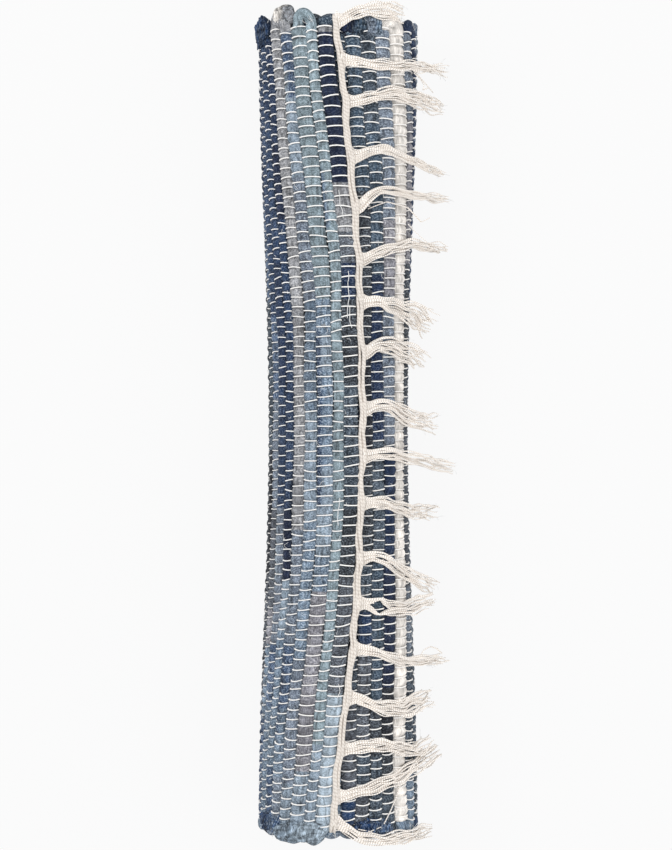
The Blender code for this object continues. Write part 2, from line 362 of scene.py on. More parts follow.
@dataclass
class RolledCloth:
    """The cloth's place in the roll: a spiral, flattened where it lies, drawn in a little half way along."""

    outer_radius: float = 56.817 * MM
    turn_pitch: float = 5.0 * MM
    thickness: float = 4.5 * MM
    width: float = 0.600
    length: float = 1.800
    flat_half: float = 16.1
    edge: float = 72.0
    bow: float = 22.0  # how far the cloth falls back at the two ends
    waist: float = 0.958  # size of the roll half way along
    swell: float = 0.074  # how much taller it is at its ends
    spread: float = 0.132  # how much broader it is at its ends
    floor_gap: float = 0.12 * MM  # between the floor and what is pressed flat on it
    bands: int = 7  # that unroll
    # How many degrees before the middle of each band its stretch begins, so that it clears the floor
    eases: tuple[float, ...] = (8.0, 16.0, 20.0, 21.0, 21.0, 18.0, 10.0)

    def __post_init__(self) -> None:
        """Measures the spiral, so that a length of cloth gives a winding."""
        self.height = self.rho(np.array(270.0)) * math.cos(math.radians(self.flat_half))
        step, last = 0.25, 3400.0  # degrees; the last is past the inner end
        self.windings = np.arange(self.edge - 20.0, last, step)
        reach = (self.rho(self.windings) - self.thickness / 2) * self.flattening(self.windings)
        steps = reach * math.radians(step)
        run = np.concatenate([[0.0], np.cumsum((steps[1:] + steps[:-1]) / 2)])
        self.run = run - np.interp(self.edge, self.windings, run)
        flap = float(self.run_at(270.0 - self.flat_half))
        middles = [float(self.winding_at(flap * (k + 0.5) / self.bands)) for k in range(self.bands)]
        self.stretch_starts = [middle - ease for middle, ease in zip(middles, self.eases)]

    def turned(self, winding: np.ndarray) -> np.ndarray:
        """Turns made since winding 0, counted only where the roll is round."""
        turns, part = np.divmod(winding, 360.0)
        start = 270.0 - self.flat_half
        counted = np.minimum(part, start) + np.maximum(part - start - 2 * self.flat_half, 0.0)
        return turns + counted / (360.0 - 2 * self.flat_half)

    def rho(self, winding: np.ndarray) -> np.ndarray:
        """Radius of the cloth's outer face, before the bottom is flattened."""
        return self.outer_radius - self.turn_pitch * (self.turned(winding) - self.turned(np.array(self.edge)))

    def flattening(self, winding: np.ndarray) -> np.ndarray:
        """How much nearer the middle a place is because the roll's bottom is flat."""
        away = (winding - 90.0) % 360.0 - 180.0
        inside = math.cos(math.radians(self.flat_half)) / np.cos(np.radians(np.clip(away, -60.0, 60.0)))
        return np.where(np.abs(away) <= self.flat_half, inside, 1.0)

    def run_at(self, winding: np.ndarray | float) -> np.ndarray:
        """Length of cloth from the header cord to a winding, half way along the roll."""
        return np.interp(winding, self.windings, self.run)

    def winding_at(self, run: np.ndarray | float) -> np.ndarray:
        """The winding at a length of cloth, half way along the roll."""
        return np.interp(run, self.run, self.windings)

    def lag(self, winding: np.ndarray, y: np.ndarray) -> np.ndarray:
        """How far the cloth falls back at this place along the roll, in degrees: less, further in.

        Args:
            winding: windings half way along the roll.
            y: places along the roll.

        Returns:
            Degrees to add to each winding.
        """
        fade = np.exp(-(winding - self.edge) / 900.0)
        slack = 1.0 - 0.55 * smooth((winding - 200.0) / 160.0) * smooth(-y / (0.25 * self.width))
        bowed = self.bow * (1.0 - np.cos(math.pi * y / self.width)) * fade * slack
        # near the -Y end the free edge is pulled back a little more, and so is the turn beneath it
        edge = 2.5 * np.exp(-(((y + 0.240) / 0.052) ** 2)) + 1.1 * smooth(-y / 0.1)
        edge = edge * np.exp(-np.maximum(winding - self.edge, 0.0) / 32.0)
        beneath = smooth((winding - 345.0) / 35.0) * (1.0 - smooth((winding - 385.0) / 50.0))
        return bowed + edge + 7.5 * beneath * np.exp(-(((y + 0.225) / 0.055) ** 2))

    def at_winding(self, winding: np.ndarray, y: np.ndarray, n: np.ndarray) -> np.ndarray:
        """Places at given windings.

        Args:
            winding: true windings, in degrees.
            y: places along the roll.
            n: heights above the cloth's middle.

        Returns:
            An array with x, y and z last.
        """
        reach = (self.rho(winding) - self.thickness / 2 + n) * self.flattening(winding)
        angle = np.radians(winding)
        ends = np.sin(math.pi * np.clip(y / self.width, -0.5, 0.5)) ** 2
        x = reach * np.cos(angle) * (self.waist + self.spread * ends)
        tall = self.waist + self.swell * ends
        z = np.maximum((self.height + reach * np.sin(angle)) * tall, self.floor_gap)
        return np.stack(np.broadcast_arrays(x, y, z), axis=-1)

    def place(self, s: np.ndarray, y: np.ndarray, n: np.ndarray) -> np.ndarray:
        """Rolls up places on the flat cloth.

        Args:
            s: lengths of cloth from the header cord.
            y: places across the weave.
            n: heights above the cloth's middle.

        Returns:
            An array with x, y and z last.
        """
        wander = 0.7 * MM * np.sin(y / 0.031 + s * 40.0) + 0.45 * MM * np.sin(y / 0.0137 + s * 90.0 + 1.0)
        winding = self.winding_at(s + wander)
        return self.at_winding(winding + self.lag(winding, y), y, n)

    def middle_of(self, winding: float) -> Vector:
        """The cloth's middle at a winding, half way along the roll."""
        x, y, z = self.at_winding(np.array(winding), np.array(0.0), np.array(0.0))
        return Vector((x, y, z))


# ---------------------------------------------------------------- tubes


class TubeForm:
    """A closed tube: a capped cylinder whose sides are cut into rings, ready to be shaped."""

    made: dict[tuple[int, int], "TubeForm"] = {}

    def __init__(self, around: int, rings: int) -> None:
        """Makes the cylinder and notes which ring and which side each of its points is on."""
        shape = bmesh.new()
        size = {"segments": around, "radius1": 1.0, "radius2": 1.0, "depth": rings - 1.0}
        bmesh.ops.create_cone(shape, cap_ends=True, **size)
        uprights = [e for e in shape.edges if abs(e.verts[0].co.z - e.verts[1].co.z) > 0.5]
        bmesh.ops.subdivide_edges(shape, edges=uprights, cuts=rings - 2, use_grid_fill=True)
        self.mesh = mesh_of("tube form", shape)
        co = np.zeros(len(self.mesh.vertices) * 3)
        self.mesh.vertices.foreach_get("co", co)
        co = co.reshape(-1, 3)
        self.ring = np.rint(co[:, 2] + (rings - 1) / 2).astype(int)
        self.side = np.rint(np.arctan2(co[:, 1], co[:, 0]) / math.tau * around).astype(int) % around
        corners = np.zeros(len(self.mesh.loops), dtype=int)
        self.mesh.loops.foreach_get("vertex_index", corners)
        self.corner_ring = self.ring[corners]
        self.corner_side = self.side[corners]
        self.face_ring = np.zeros(len(self.mesh.polygons), dtype=int)
        for face in self.mesh.polygons:
            span = slice(face.loop_start, face.loop_start + face.loop_total)
            sides = self.corner_side[span]
            if face.loop_total == 4 and sides.max() - sides.min() > 1:
                sides[sides == 0] = around
            self.face_ring[face.index] = self.corner_ring[span].min()

    @classmethod
    def of(cls, around: int, rings: int) -> "TubeForm":
        """The form with this many sides and rings, made the first time it is asked for."""
        if (around, rings) not in cls.made:
            cls.made[around, rings] = cls(around, rings)
        return cls.made[around, rings]


@dataclass
class Tubes:
    """Tubes alike in sides and rings.

    Args:
        points: places, as (tube, ring, side, xyz).
        length: distance along each tube, as (tube, ring), for the UV map.
        girth: distance round each tube, as (tube,).
        rag: colour and flecks, as (tube, ring, side, 4), if the tubes are rags.
        slots: material slot of each face's ring, as (tube, ring).
    """

    points: np.ndarray
    length: np.ndarray
    girth: np.ndarray
    rag: np.ndarray | None = None
    slots: np.ndarray | None = None

    def mesh(self, name: str, materials: list[bpy.types.Material]) -> bpy.types.Mesh:
        """Makes one mesh of all the tubes.

        Args:
            name: the mesh's name.
            materials: one for each slot.

        Returns:
            The mesh, with a UV map that follows the tubes.
        """
        count, rings, around = self.points.shape[:3]
        form = TubeForm.of(around, rings)
        shape = bmesh.new()
        for _ in range(count):
            shape.from_mesh(form.mesh)
        mesh = mesh_of(name, shape)
        co = self.points[:, form.ring, form.side, :]
        mesh.vertices.foreach_set("co", co.ravel())
        if "UVMap" in mesh.uv_layers:
            mesh.uv_layers.remove(mesh.uv_layers["UVMap"])
        layer = mesh.uv_layers.new(name="strip")
        u = self.girth[:, None] * form.corner_side[None, :] / around / UV_UNIT
        v = self.length[:, form.corner_ring] / UV_UNIT
        layer.data.foreach_set("uv", np.stack([u, v], axis=-1).ravel())
        if self.rag is not None:
            paint = mesh.attributes.new("rag", "FLOAT_COLOR", "POINT")
            paint.data.foreach_set("color", self.rag[:, form.ring, form.side, :].ravel())
        for material in materials:
            mesh.materials.append(material)
        if self.slots is not None:
            mesh.polygons.foreach_set("material_index", self.slots[:, form.face_ring].ravel())
        mesh.polygons.foreach_set("use_smooth", np.ones(len(mesh.polygons), dtype=bool))
        mesh.update()
        return mesh


def sweep(paths: np.ndarray, radius: np.ndarray, around: int, flat: float = 1.0) -> np.ndarray:
    """Rings round lines.

    Args:
        paths: the lines' points, as (line, point, xyz).
        radius: each ring's radius, as (line, point).
        around: how many sides a ring has.
        flat: the ring's height as a share of its width.

    Returns:
        Places, as (line, point, side, xyz), turning so that a tube's faces point outwards.
    """
    ahead = np.gradient(paths, axis=1)
    ahead /= np.linalg.norm(ahead, axis=2, keepdims=True) + 1e-12
    side = np.cross(np.array([0.0, 0.0, 1.0]), ahead[:, 0])
    weak = np.linalg.norm(side, axis=1) < 1e-3
    side[weak] = np.array([1.0, 0.0, 0.0])
    sides = np.zeros_like(paths)
    for k in range(paths.shape[1]):
        side = side - (side * ahead[:, k]).sum(1, keepdims=True) * ahead[:, k]
        side /= np.linalg.norm(side, axis=1, keepdims=True) + 1e-12
        sides[:, k] = side
    ups = np.cross(ahead, sides)
    turn = math.tau * np.arange(around) / around
    spread = radius[:, :, None, None]
    return (
        paths[:, :, None, :]
        + spread * np.cos(turn)[None, None, :, None] * sides[:, :, None, :]
        + spread * flat * np.sin(turn)[None, None, :, None] * ups[:, :, None, :]
    )


def along(paths: np.ndarray) -> np.ndarray:
    """Distance along each line, as (line, point)."""
    steps = np.linalg.norm(np.diff(paths, axis=1), axis=2)
    return np.concatenate([np.zeros((len(paths), 1)), np.cumsum(steps, axis=1)], axis=1)


def yarns(paths: np.ndarray, radius: np.ndarray, around: int, flat: float = 1.0) -> Tubes:
    """Tubes along lines, as for yarns and cords."""
    girth = math.tau * radius.mean(axis=1)
    return Tubes(sweep(paths, radius, around, flat), along(paths), girth)


def add_piece(mesh: bpy.types.Mesh, body: str | None = None) -> bpy.types.Object:
    """Puts a finished mesh into the scene, under its own name.

    Args:
        mesh: the piece's mesh, already in place.
        body: the body that it rides on, or None for a piece that rides on none.

    Returns:
        The new object.
    """
    piece = put(mesh.name, mesh)
    if body is not None:
        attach(piece, body)
    LOG.info("%s: %d faces", mesh.name, len(mesh.polygons))
    return piece


# ---------------------------------------------------------------- the weave


@dataclass(frozen=True)
class Pick:
    """One rag of the weft.

    Args:
        number: counted from the header cord.
        start: length of cloth from the header cord to its near edge.
        width: across the strip, as it lies in the weave.
        lengths: the cloths it is made of, from the +Y end, each with the place where it begins.
        lining: a second cloth that shows along its far edge: from where, to where, and which.
    """

    number: int
    start: float
    width: float
    lengths: tuple[tuple[float, Rag], ...]
    lining: tuple[float, float, Rag] | None = None

    @property
    def middle(self) -> float:
        """Length of cloth from the header cord to the middle of the strip."""
        return self.start + self.width / 2


@dataclass
class WeftPlan:
    """Which rag goes where: the picks from the header cord inwards."""

    cloth: RolledCloth
    first: float = 2.7 * MM  # of cloth under the header cord
    usual: float = 10.4 * MM
    widths_mm: tuple[float, ...] = (11.2, 8.0, 12.0, 10.0, 10.2, 8.2, 10.0, 10.5)
    right_windings: tuple[float, ...] = (365.5, 378.3, 395.2, 408.8, 421.0, 433.2, 445.0)
    seed: int = 11

    # From the header cord: each pick's cloths, with the place in mm where each begins, +Y end first
    NEAR = (
        ((320, Rag.TAUPE), (284, Rag.MIDNIGHT), (176, Rag.TAUPE), (140, Rag.ASH), (118, Rag.NAVY),
         (92, Rag.CHARCOAL), (30, Rag.SLATE), (-60, Rag.CHARCOAL), (-110, Rag.ASH), (-193, Rag.ICE)),
        ((320, Rag.TEAL), (-230, Rag.PALE_BLUE)),
        ((320, Rag.TEAL), (92, Rag.WASHED), (66, Rag.PALE_BLUE), (40, Rag.WASHED), (-30, Rag.PALE_BLUE),
         (-95, Rag.WASHED), (-120, Rag.MAUVE), (-250, Rag.PALE_BLUE)),
        ((320, Rag.TAUPE), (286, Rag.MID_BLUE), (238, Rag.PALE_BLUE), (180, Rag.GREY_BLUE), (92, Rag.WASHED),
         (10, Rag.PALE_BLUE), (-70, Rag.WASHED), (-170, Rag.GREY_BLUE), (-260, Rag.PALE_BLUE)),
        ((320, Rag.CREAM), (289, Rag.TAUPE), (-20, Rag.TAUPE), (-75, Rag.GREY_BLUE), (-160, Rag.MID_BLUE),
         (-205, Rag.WASHED), (-255, Rag.GREY_BLUE)),
        ((320, Rag.NAVY), (204, Rag.MIDNIGHT), (150, Rag.INDIGO), (92, Rag.INDIGO), (-60, Rag.MIDNIGHT),
         (-112, Rag.PALE_BLUE), (-150, Rag.WASHED), (-250, Rag.MID_BLUE)),
        ((320, Rag.INDIGO), (120, Rag.NAVY), (30, Rag.INDIGO), (-60, Rag.GREY_BLUE), (-160, Rag.MID_BLUE),
         (-205, Rag.WASHED)),
        ((320, Rag.INDIGO), (80, Rag.MID_BLUE), (20, Rag.GREY_BLUE), (-60, Rag.ASH), (-135, Rag.MAUVE),
         (-160, Rag.WASHED), (-215, Rag.MID_BLUE)),
        ((320, Rag.NAVY), (170, Rag.MID_BLUE), (92, Rag.SLATE), (-18, Rag.BLACK), (-110, Rag.ASH),
         (-210, Rag.INDIGO)),
        ((320, Rag.INDIGO), (120, Rag.CHARCOAL), (-100, Rag.BLACK), (-200, Rag.SLATE)),
    )
    # The picks of the turn beneath that show beside the cord, from the roll's side up to the cord
    RIGHT = (
        ((320, Rag.GREY_BLUE), (225, Rag.MAUVE), (120, Rag.CHARCOAL), (20, Rag.ASH), (-120, Rag.GREY_BLUE),
         (-170, Rag.SLATE), (-250, Rag.WASHED)),
        ((320, Rag.CREAM),),
        ((320, Rag.GREY_BLUE), (150, Rag.MAUVE), (95, Rag.GREY_BLUE), (-22, Rag.NAVY), (-105, Rag.MIDNIGHT),
         (-190, Rag.BLACK), (-230, Rag.CHARCOAL), (-262, Rag.SLATE)),
        ((320, Rag.SLATE), (220, Rag.SLATE_TEAL), (110, Rag.NAVY), (-10, Rag.SLATE), (-100, Rag.SLATE_TEAL),
         (-205, Rag.CHARCOAL), (-240, Rag.SLATE)),
        ((320, Rag.SLATE_TEAL), (170, Rag.CHARCOAL), (60, Rag.BLACK), (-20, Rag.CHARCOAL), (-100, Rag.SLATE),
         (-135, Rag.INDIGO), (-166, Rag.ASH), (-235, Rag.SLATE), (-262, Rag.ASH)),
        ((320, Rag.SLATE_TEAL), (120, Rag.NAVY), (0, Rag.BLACK), (-160, Rag.SLATE), (-195, Rag.ASH),
         (-262, Rag.INDIGO)),
    )
    # Rags with a second cloth folded in along the edge away from the cord
    LININGS = {
        1: (0.190, 0.140, Rag.WASHED),
        2: (0.072, -0.062, Rag.INDIGO),
        3: (0.262, 0.215, Rag.ICE),
        4: (-0.150, -0.230, Rag.INDIGO),
        6: (-0.060, -0.120, Rag.ICE),
    }
    # How far some of the turns stand out beyond the last warp yarn, in mm
    JUTS = {0: 6.0, 1: 9.5, 2: 6.0, 3: 8.5, 4: 6.0, 5: 6.0, 6: 4.0}

    def __post_init__(self) -> None:
        """Lays out every pick."""
        rng = np.random.default_rng(self.seed)
        self.picks: list[Pick] = []
        at = self.first
        for width, lengths in zip(self.widths_mm, self.NEAR):
            at = self._lay(at, width * MM, lengths)
        marks = [float(self.cloth.run_at(w)) for w in self.right_windings]
        at = self._fill(rng, at, marks[0], list(self.NEAR[8:]))
        for low, high, lengths in zip(marks, marks[1:], self.RIGHT):
            at = self._lay(low, high - low, lengths)
        self._fill(rng, at, self.cloth.length - 2.5 * MM, [])

    def _lay(self, start: float, width: float, lengths: tuple) -> float:
        """Adds one pick and gives the place where it ends."""
        placed = tuple((mm * MM, rag) for mm, rag in lengths)
        number = len(self.picks)
        self.picks.append(Pick(number, start, width, placed, self.LININGS.get(number)))
        return start + width

    def _fill(self, rng: np.random.Generator, start: float, end: float, given: list) -> float:
        """Fills a stretch of cloth with picks of the usual width, in cloths drawn by lot."""
        count = max(1, round((end - start) / self.usual))
        shares = 1.0 + 0.14 * rng.uniform(-1.0, 1.0, count)
        widths = shares / shares.sum() * (end - start)
        rags = [rag for rag in Rag]
        likely = np.array([5, 4, 5, 4, 4, 3, 1, 4, 2, 2, 2, 3, 2, 3, 3, 2, 1], dtype=float)
        for k in range(count):
            if k < len(given):
                lengths = given[k]
            else:
                cuts = sorted(rng.uniform(-260, 260, rng.integers(0, 4)), reverse=True)
                drawn = rng.choice(len(rags), len(cuts) + 1, p=likely / likely.sum())
                lengths = tuple(zip([320.0, *cuts], [rags[d] for d in drawn]))
            start = self._lay(start, float(widths[k]), lengths)
        return end


@dataclass(frozen=True)
class EdgeFold:
    """A spare end of rag folded flat over the turns at a selvedge.

    Args:
        start: length of cloth from the header cord to where it begins.
        end: where it ends.
        middle: its middle line's place across the weave.
        half: half its width.
        rags: its cloth at the start and at the end.
        raised: how far it stands off the cloth's middle.
    """

    start: float
    end: float
    middle: float
    half: float
    rags: tuple[Rag, Rag]
    raised: float = 2.0 * MM


@dataclass
class Weave:
    """Plain weave of rags and cotton yarns, each rag pinched by every yarn that crosses over it."""

    cloth: RolledCloth
    plan: WeftPlan
    palette: Palette
    yarn_gap: float = 3.6 * MM
    yarn_count: int = 161
    yarn_radius: float = 0.62 * MM
    half_thick: float = 2.15 * MM
    pinch: float = 0.85 * MM  # how deep a yarn sinks into a rag
    dent: float = 1.0 * MM  # half the length of rag that a yarn presses in
    sway: float = 0.42 * MM  # how far a rag rises and falls between the yarns
    seed: int = 5

    @property
    def half_span(self) -> float:
        """Half the distance between the first and the last warp yarn."""
        return self.yarn_gap * (self.yarn_count - 1) / 2

    def crossing(self, y: np.ndarray, number: int) -> np.ndarray:
        """Phase of the weave: 0 where a yarn crosses over this rag, 1 where one crosses under it."""
        return ((y + self.half_span) / self.yarn_gap + number) % 2.0

    def rag(self, pick: Pick, following: Pick, per_gap: int, around: int) -> dict[str, np.ndarray]:
        """Shapes one rag, from its tucked start, across the weave and round the turn to the next rag.

        Args:
            pick: the rag.
            following: the rag that its turn leads to.
            per_gap: rings between two warp yarns; 0 for a rag that only shows at its ends.
            around: sides of the strip's outline.

        Returns:
            Its places, length, girth, colours and material slots.
        """
        rng = np.random.default_rng((self.seed, pick.number))
        heading = -1.0 if pick.number % 2 == 0 else 1.0
        reach = self.half_span + 0.9 * MM
        if per_gap:
            straight = np.linspace(-reach, reach, per_gap * (self.yarn_count - 1) + 1)
        else:
            ends = [-reach + inner for inner in (0.0, 0.004, 0.010, 0.05, 0.2)]
            straight = np.array([*ends, 0.0, *[-end for end in ends[::-1]]])
        turn = np.linspace(0.0, math.pi, 15)[1:]
        rings = len(straight) + len(turn) + 1
        gap = (following.middle - pick.middle) / 2
        jut = self.plan.JUTS.get(pick.number, rng.uniform(3.0, 6.5)) * MM
        bend = np.concatenate([np.zeros(len(straight)), turn, [math.pi]])
        sinus, cosine = np.sin(bend), np.cos(bend)
        forward = np.concatenate([straight, reach + jut * np.sin(turn), [reach - 2.0 * MM]])
        looped = np.concatenate([np.zeros(len(straight)), smooth(np.sin(turn) * 1.6), [0.0]])
        y_line = heading * forward
        sideways = 0.55 * MM * drift(rng, forward, 40.0 * MM) * (1.0 - looped)
        centre_s = pick.middle + gap * (1.0 - cosine) + sideways

        phase = self.crossing(y_line, pick.number)
        woven = 1.0 - looped if per_gap else np.zeros(rings)
        away = np.minimum(phase, 2.0 - phase), np.abs(phase - 1.0)
        over, under = (np.exp(-((gaps * self.yarn_gap / self.dent) ** 2)) * woven for gaps in away)
        rise = -self.sway * np.cos(math.pi * phase) * woven
        tuck = np.minimum(1.0, 0.55 + 0.45 * smooth(np.arange(rings) / 2.0))
        tuck *= np.where(np.arange(rings) == rings - 1, 0.5, 1.0)

        across, upward = outline(around, 0.72, 0.80)
        lumps = drifts(rng, forward, 6.5 * MM, around)
        creases = drifts(rng, forward, 38.0 * MM, around)
        half = pick.width / 2
        wide = half * (1.03 + 0.05 * under - 0.07 * over)[:, None] * (1.0 + 0.035 * lumps)
        wide = np.where(looped[:, None] > 0.3, np.minimum(wide, gap * 0.98), wide) * tuck[:, None]
        puff = 1.0 + 0.16 * looped
        top = (self.half_thick * puff - self.pinch * over)[:, None] * (1.0 + 0.09 * lumps + 0.08 * creases)
        low = (self.half_thick * puff - self.pinch * under)[:, None] * (1.0 + 0.07 * lumps)
        thick = np.where(upward[None, :] > 0, top, low) * tuck[:, None]
        u = across[None, :] * wide
        n = upward[None, :] * thick + rise[:, None] * (1.0 - 0.35 * np.abs(across)[None, :] ** 2)
        n = n + looped[:, None] * 0.35 * MM * creases
        s = centre_s[:, None] + u * cosine[:, None]
        y = (forward[:, None] - u * sinus[:, None]) * heading
        places = self.cloth.place(s, y, n)
        if heading < 0:
            places = places[:, ::-1]
            u, n, lumps, creases = u[:, ::-1], n[:, ::-1], lumps[:, ::-1], creases[:, ::-1]
        colour, slots = self._dye(rng, pick, y_line, u / half, n, over, lumps, looped)
        steps = np.linalg.norm(np.diff(places.mean(axis=1), axis=0), axis=1)
        length = np.concatenate([[0.0], np.cumsum(steps)]) + pick.number * 0.37
        girth = 2.0 * (pick.width + 2 * self.half_thick) * 0.86
        return {"points": places, "length": length, "girth": girth, "rag": colour, "slots": slots}

    def _dye(
        self,
        rng: np.random.Generator,
        pick: Pick,
        y_line: np.ndarray,
        u: np.ndarray,
        n: np.ndarray,
        over: np.ndarray,
        lumps: np.ndarray,
        looped: np.ndarray,
    ) -> tuple[np.ndarray, np.ndarray]:
        """Colours a rag: its cloths in turn, paler where it is rubbed, with painted shade at its edges and
        beside the yarns that cross over it.

        Args:
            rng: where the random numbers come from.
            pick: the rag.
            y_line: each ring's place along the roll.
            u: places across the strip, -1 to 1.
            n: heights above the cloth's middle.
            over: how near each ring is to a yarn that crosses over it.
            lumps: the strip's lumpiness.
            looped: which rings are on the turn; not used.

        Returns:
            Colours with flecks as the fourth value, and the material slot of each ring.
        """
        index = np.zeros(len(y_line), dtype=int)
        for k, (begin, _) in enumerate(pick.lengths):
            index[y_line <= begin] = k
        shades = np.array([linear(rag.value.shade) for _, rag in pick.lengths])[index]
        flecks = np.array([rag.value.fleck for _, rag in pick.lengths])[index]
        plain = np.array([0 if rag.value.denim else 1 for _, rag in pick.lengths])[index]
        fade = drift(rng, y_line, 22.0 * MM)
        patch = drift(rng, y_line, 70.0 * MM)
        tone = 1.0 + 0.16 * fade[:, None] + 0.14 * patch[:, None] + 0.10 * lumps
        # painted shade: darker towards the strip's two edges, where it meets its neighbours, and beside every
        # yarn that crosses over it
        tone = tone * (1.0 - 0.30 * np.clip(np.abs(u), 0, 1) ** 6) * (1.0 - 0.22 * over[:, None])
        tone = np.clip(tone, 0.35, 1.7)
        colour = shades[:, None, :] * tone[:, :, None]
        rubbed = np.clip(0.10 * lumps + 0.06, 0.0, 0.3)[:, :, None] * flecks[:, None, None]
        colour = colour * (1.0 - rubbed) + np.array(linear("#C4CEDA")) * rubbed
        if pick.lining is not None:
            begin, end, rag = pick.lining
            along_it = smooth((begin - y_line) / (6.0 * MM)) * smooth((y_line - end) / (6.0 * MM))
            edge = smooth((u - 0.42 + 0.22 * lumps) / 0.12) * along_it[:, None] * (n > 0.0)
            second = np.array(linear(rag.value.shade)) * tone[:, :, None]
            colour = colour * (1.0 - edge[:, :, None]) + second * edge[:, :, None]
        alpha = np.clip(flecks[:, None] * (1.0 + 0.5 * fade[:, None] + 0.4 * np.abs(u)), 0.0, 1.0)
        return np.concatenate([colour, alpha[:, :, None]], axis=2), plain

    def fold(self, name: str, fold: EdgeFold, seed: int) -> bpy.types.Mesh:
        """Shapes a folded rag end, crumpled and creased, with painted light on its ridges and painted shade
        in its valleys and cracks.

        Args:
            name: the mesh's name.
            fold: the rag end.
            seed: of the random numbers.

        Returns:
            The mesh.
        """
        rng = np.random.default_rng((self.seed, 500 + seed))
        rings = max(12, round((fold.end - fold.start) / (0.9 * MM)))
        around = 28
        share = np.linspace(0.0, 1.0, rings)
        s_line = fold.start + share * (fold.end - fold.start)
        across, upward = outline(around, 0.6, 0.7)
        taper = (1.0 - np.abs(2.0 * share - 1.0) ** 4.5) ** 0.5 * 0.94 + 0.06
        edges = drifts(rng, s_line, 8.0 * MM, around)
        middle = fold.middle + 1.4 * MM * drift(rng, s_line, 14.0 * MM)
        half = fold.half * (1.0 + 0.26 * edges) * taper[:, None]
        u = across[None, :] * half
        ridge = np.zeros_like(u)
        for _ in range(7):
            lean, gap, phase = rng.uniform(-1.3, 1.3), rng.uniform(4.5, 12.0) * MM, rng.uniform(0, math.tau)
            bend = 1.3 * np.sin(u / (3.1 * MM) + phase) + 0.8 * edges
            wave = np.sin(math.pi * (s_line[:, None] + lean * u) / gap + phase + bend)
            ridge += (1.0 - np.abs(wave)) ** 4 * rng.uniform(0.4, 1.1)
        ridge -= ridge.mean()
        crack = np.zeros_like(u)
        for _ in range(4):
            lean, gap, phase = rng.uniform(-1.6, 1.6), rng.uniform(9.0, 19.0) * MM, rng.uniform(0, math.tau)
            wave = np.sin(math.pi * (s_line[:, None] + lean * u) / gap + phase + 1.6 * edges)
            crack = np.maximum(crack, (1.0 - np.abs(wave)) ** 7)
        ridge -= 0.7 * crack
        thick = (1.55 * MM + 0.80 * MM * ridge + 0.3 * MM * edges) * taper[:, None]
        thick = np.where(upward[None, :] > 0, thick, 1.6 * MM * taper[:, None])
        n = fold.raised + upward[None, :] * thick - 1.3 * MM * (np.abs(across)[None, :] ** 3)
        places = self.cloth.place(np.broadcast_to(s_line[:, None], u.shape), middle[:, None] - u, n)
        shades = np.array([linear(rag.value.shade) for rag in fold.rags])
        mix = smooth((share[:, None] + 0.12 * edges - 0.4) / 0.2)[:, :, None]
        colour = shades[0] * (1.0 - mix) + shades[1] * mix
        # painted light and shade: lighter on the ridges and where the fold stands higher, darker in the
        # valleys and cracks
        tone = np.clip(0.98 + 0.72 * ridge + 0.20 * edges, 0.3, 1.7) * (1.0 - 0.62 * crack)
        colour = colour * tone[:, :, None]
        flecks = [rag.value.fleck for rag in fold.rags]
        alpha = np.broadcast_to(flecks[0] * (1.0 - mix) + flecks[1] * mix, (rings, around, 1))
        paint = np.concatenate([colour, alpha], axis=2)[None]
        tubes = Tubes(places[None], (s_line - s_line[0])[None], np.array([4.4 * fold.half]), paint)
        return tubes.mesh(name, [self.palette.denim])

    def rags(self, name: str, numbers: list[int], per_gap: int, around: int) -> bpy.types.Mesh:
        """One mesh of several rags.

        Args:
            name: the mesh's name.
            numbers: which picks.
            per_gap: rings between two warp yarns; 0 for rags that only show at their ends.
            around: sides of a strip's outline.

        Returns:
            The mesh.
        """
        picks = self.plan.picks
        last = picks[-1]
        beyond = Pick(len(picks), last.start + last.width, last.width * 0.7, last.lengths)
        following = [*picks[1:], beyond]
        made = [self.rag(picks[number], following[number], per_gap, around) for number in numbers]
        tubes = Tubes(**{part: np.stack([one[part] for one in made]) for part in made[0]})
        return tubes.mesh(name, [self.palette.denim, self.palette.plain])

    def warp(self, name: str, low: float, high: float, around: int) -> bpy.types.Mesh:
        """The warp yarns over a stretch of cloth.

        Args:
            name: the mesh's name.
            low: where the stretch begins, as a length of cloth from the header cord.
            high: where it ends.
            around: sides of a yarn.

        Returns:
            The mesh.
        """
        picks = [p for p in self.plan.picks if p.start < high and p.start + p.width > low]
        shares = np.array([-0.46, -0.30, 0.0, 0.30, 0.46])
        lifts = np.array([0.55, 0.97, 1.02, 0.97, 0.55])
        yarn = np.arange(self.yarn_count)
        rng = np.random.default_rng((self.seed, 77))
        y_rest = -self.half_span + yarn * self.yarn_gap + rng.normal(0.0, 0.16 * MM, self.yarn_count)
        s_line, y_line, n_line = [], [], []
        ends = 0.9 * (y_rest / self.half_span)
        for pick in picks:
            dash = np.random.default_rng((self.seed, 33, pick.number))
            side = np.where((pick.number + yarn) % 2 == 0, 1.0, -1.0)
            tilt = dash.normal(-0.25, 0.35, self.yarn_count) * MM
            bowed = (dash.normal(0.0, 0.22, self.yarn_count) + ends) * MM
            shift = dash.normal(0.0, 0.18, self.yarn_count) * MM
            lie = self.half_thick - self.pinch - self.sway + 0.95 * self.yarn_radius
            for share, lift in zip(shares, lifts):
                s_line.append(np.full(self.yarn_count, pick.middle + share * pick.width))
                y_line.append(y_rest + shift + tilt * share * 2 + bowed * (1.0 - (2 * share) ** 2))
                n_line.append(side * (lie + 0.55 * MM) * lift)
        s, y, n = (np.stack(line, axis=1) for line in (s_line, y_line, n_line))
        slope_s, slope_n = np.gradient(s, axis=1), np.gradient(n, axis=1)
        size = np.hypot(slope_s, slope_n)
        turn = math.tau * np.arange(around) / around
        up_s, up_n = -slope_n / size, slope_s / size
        aside = smooth((s - 55.0 * MM) / (25.0 * MM)) * (1.0 - smooth((s - 200.0 * MM) / (50.0 * MM)))
        first = 1.0 - smooth((s - 9.0 * MM) / (8.0 * MM))
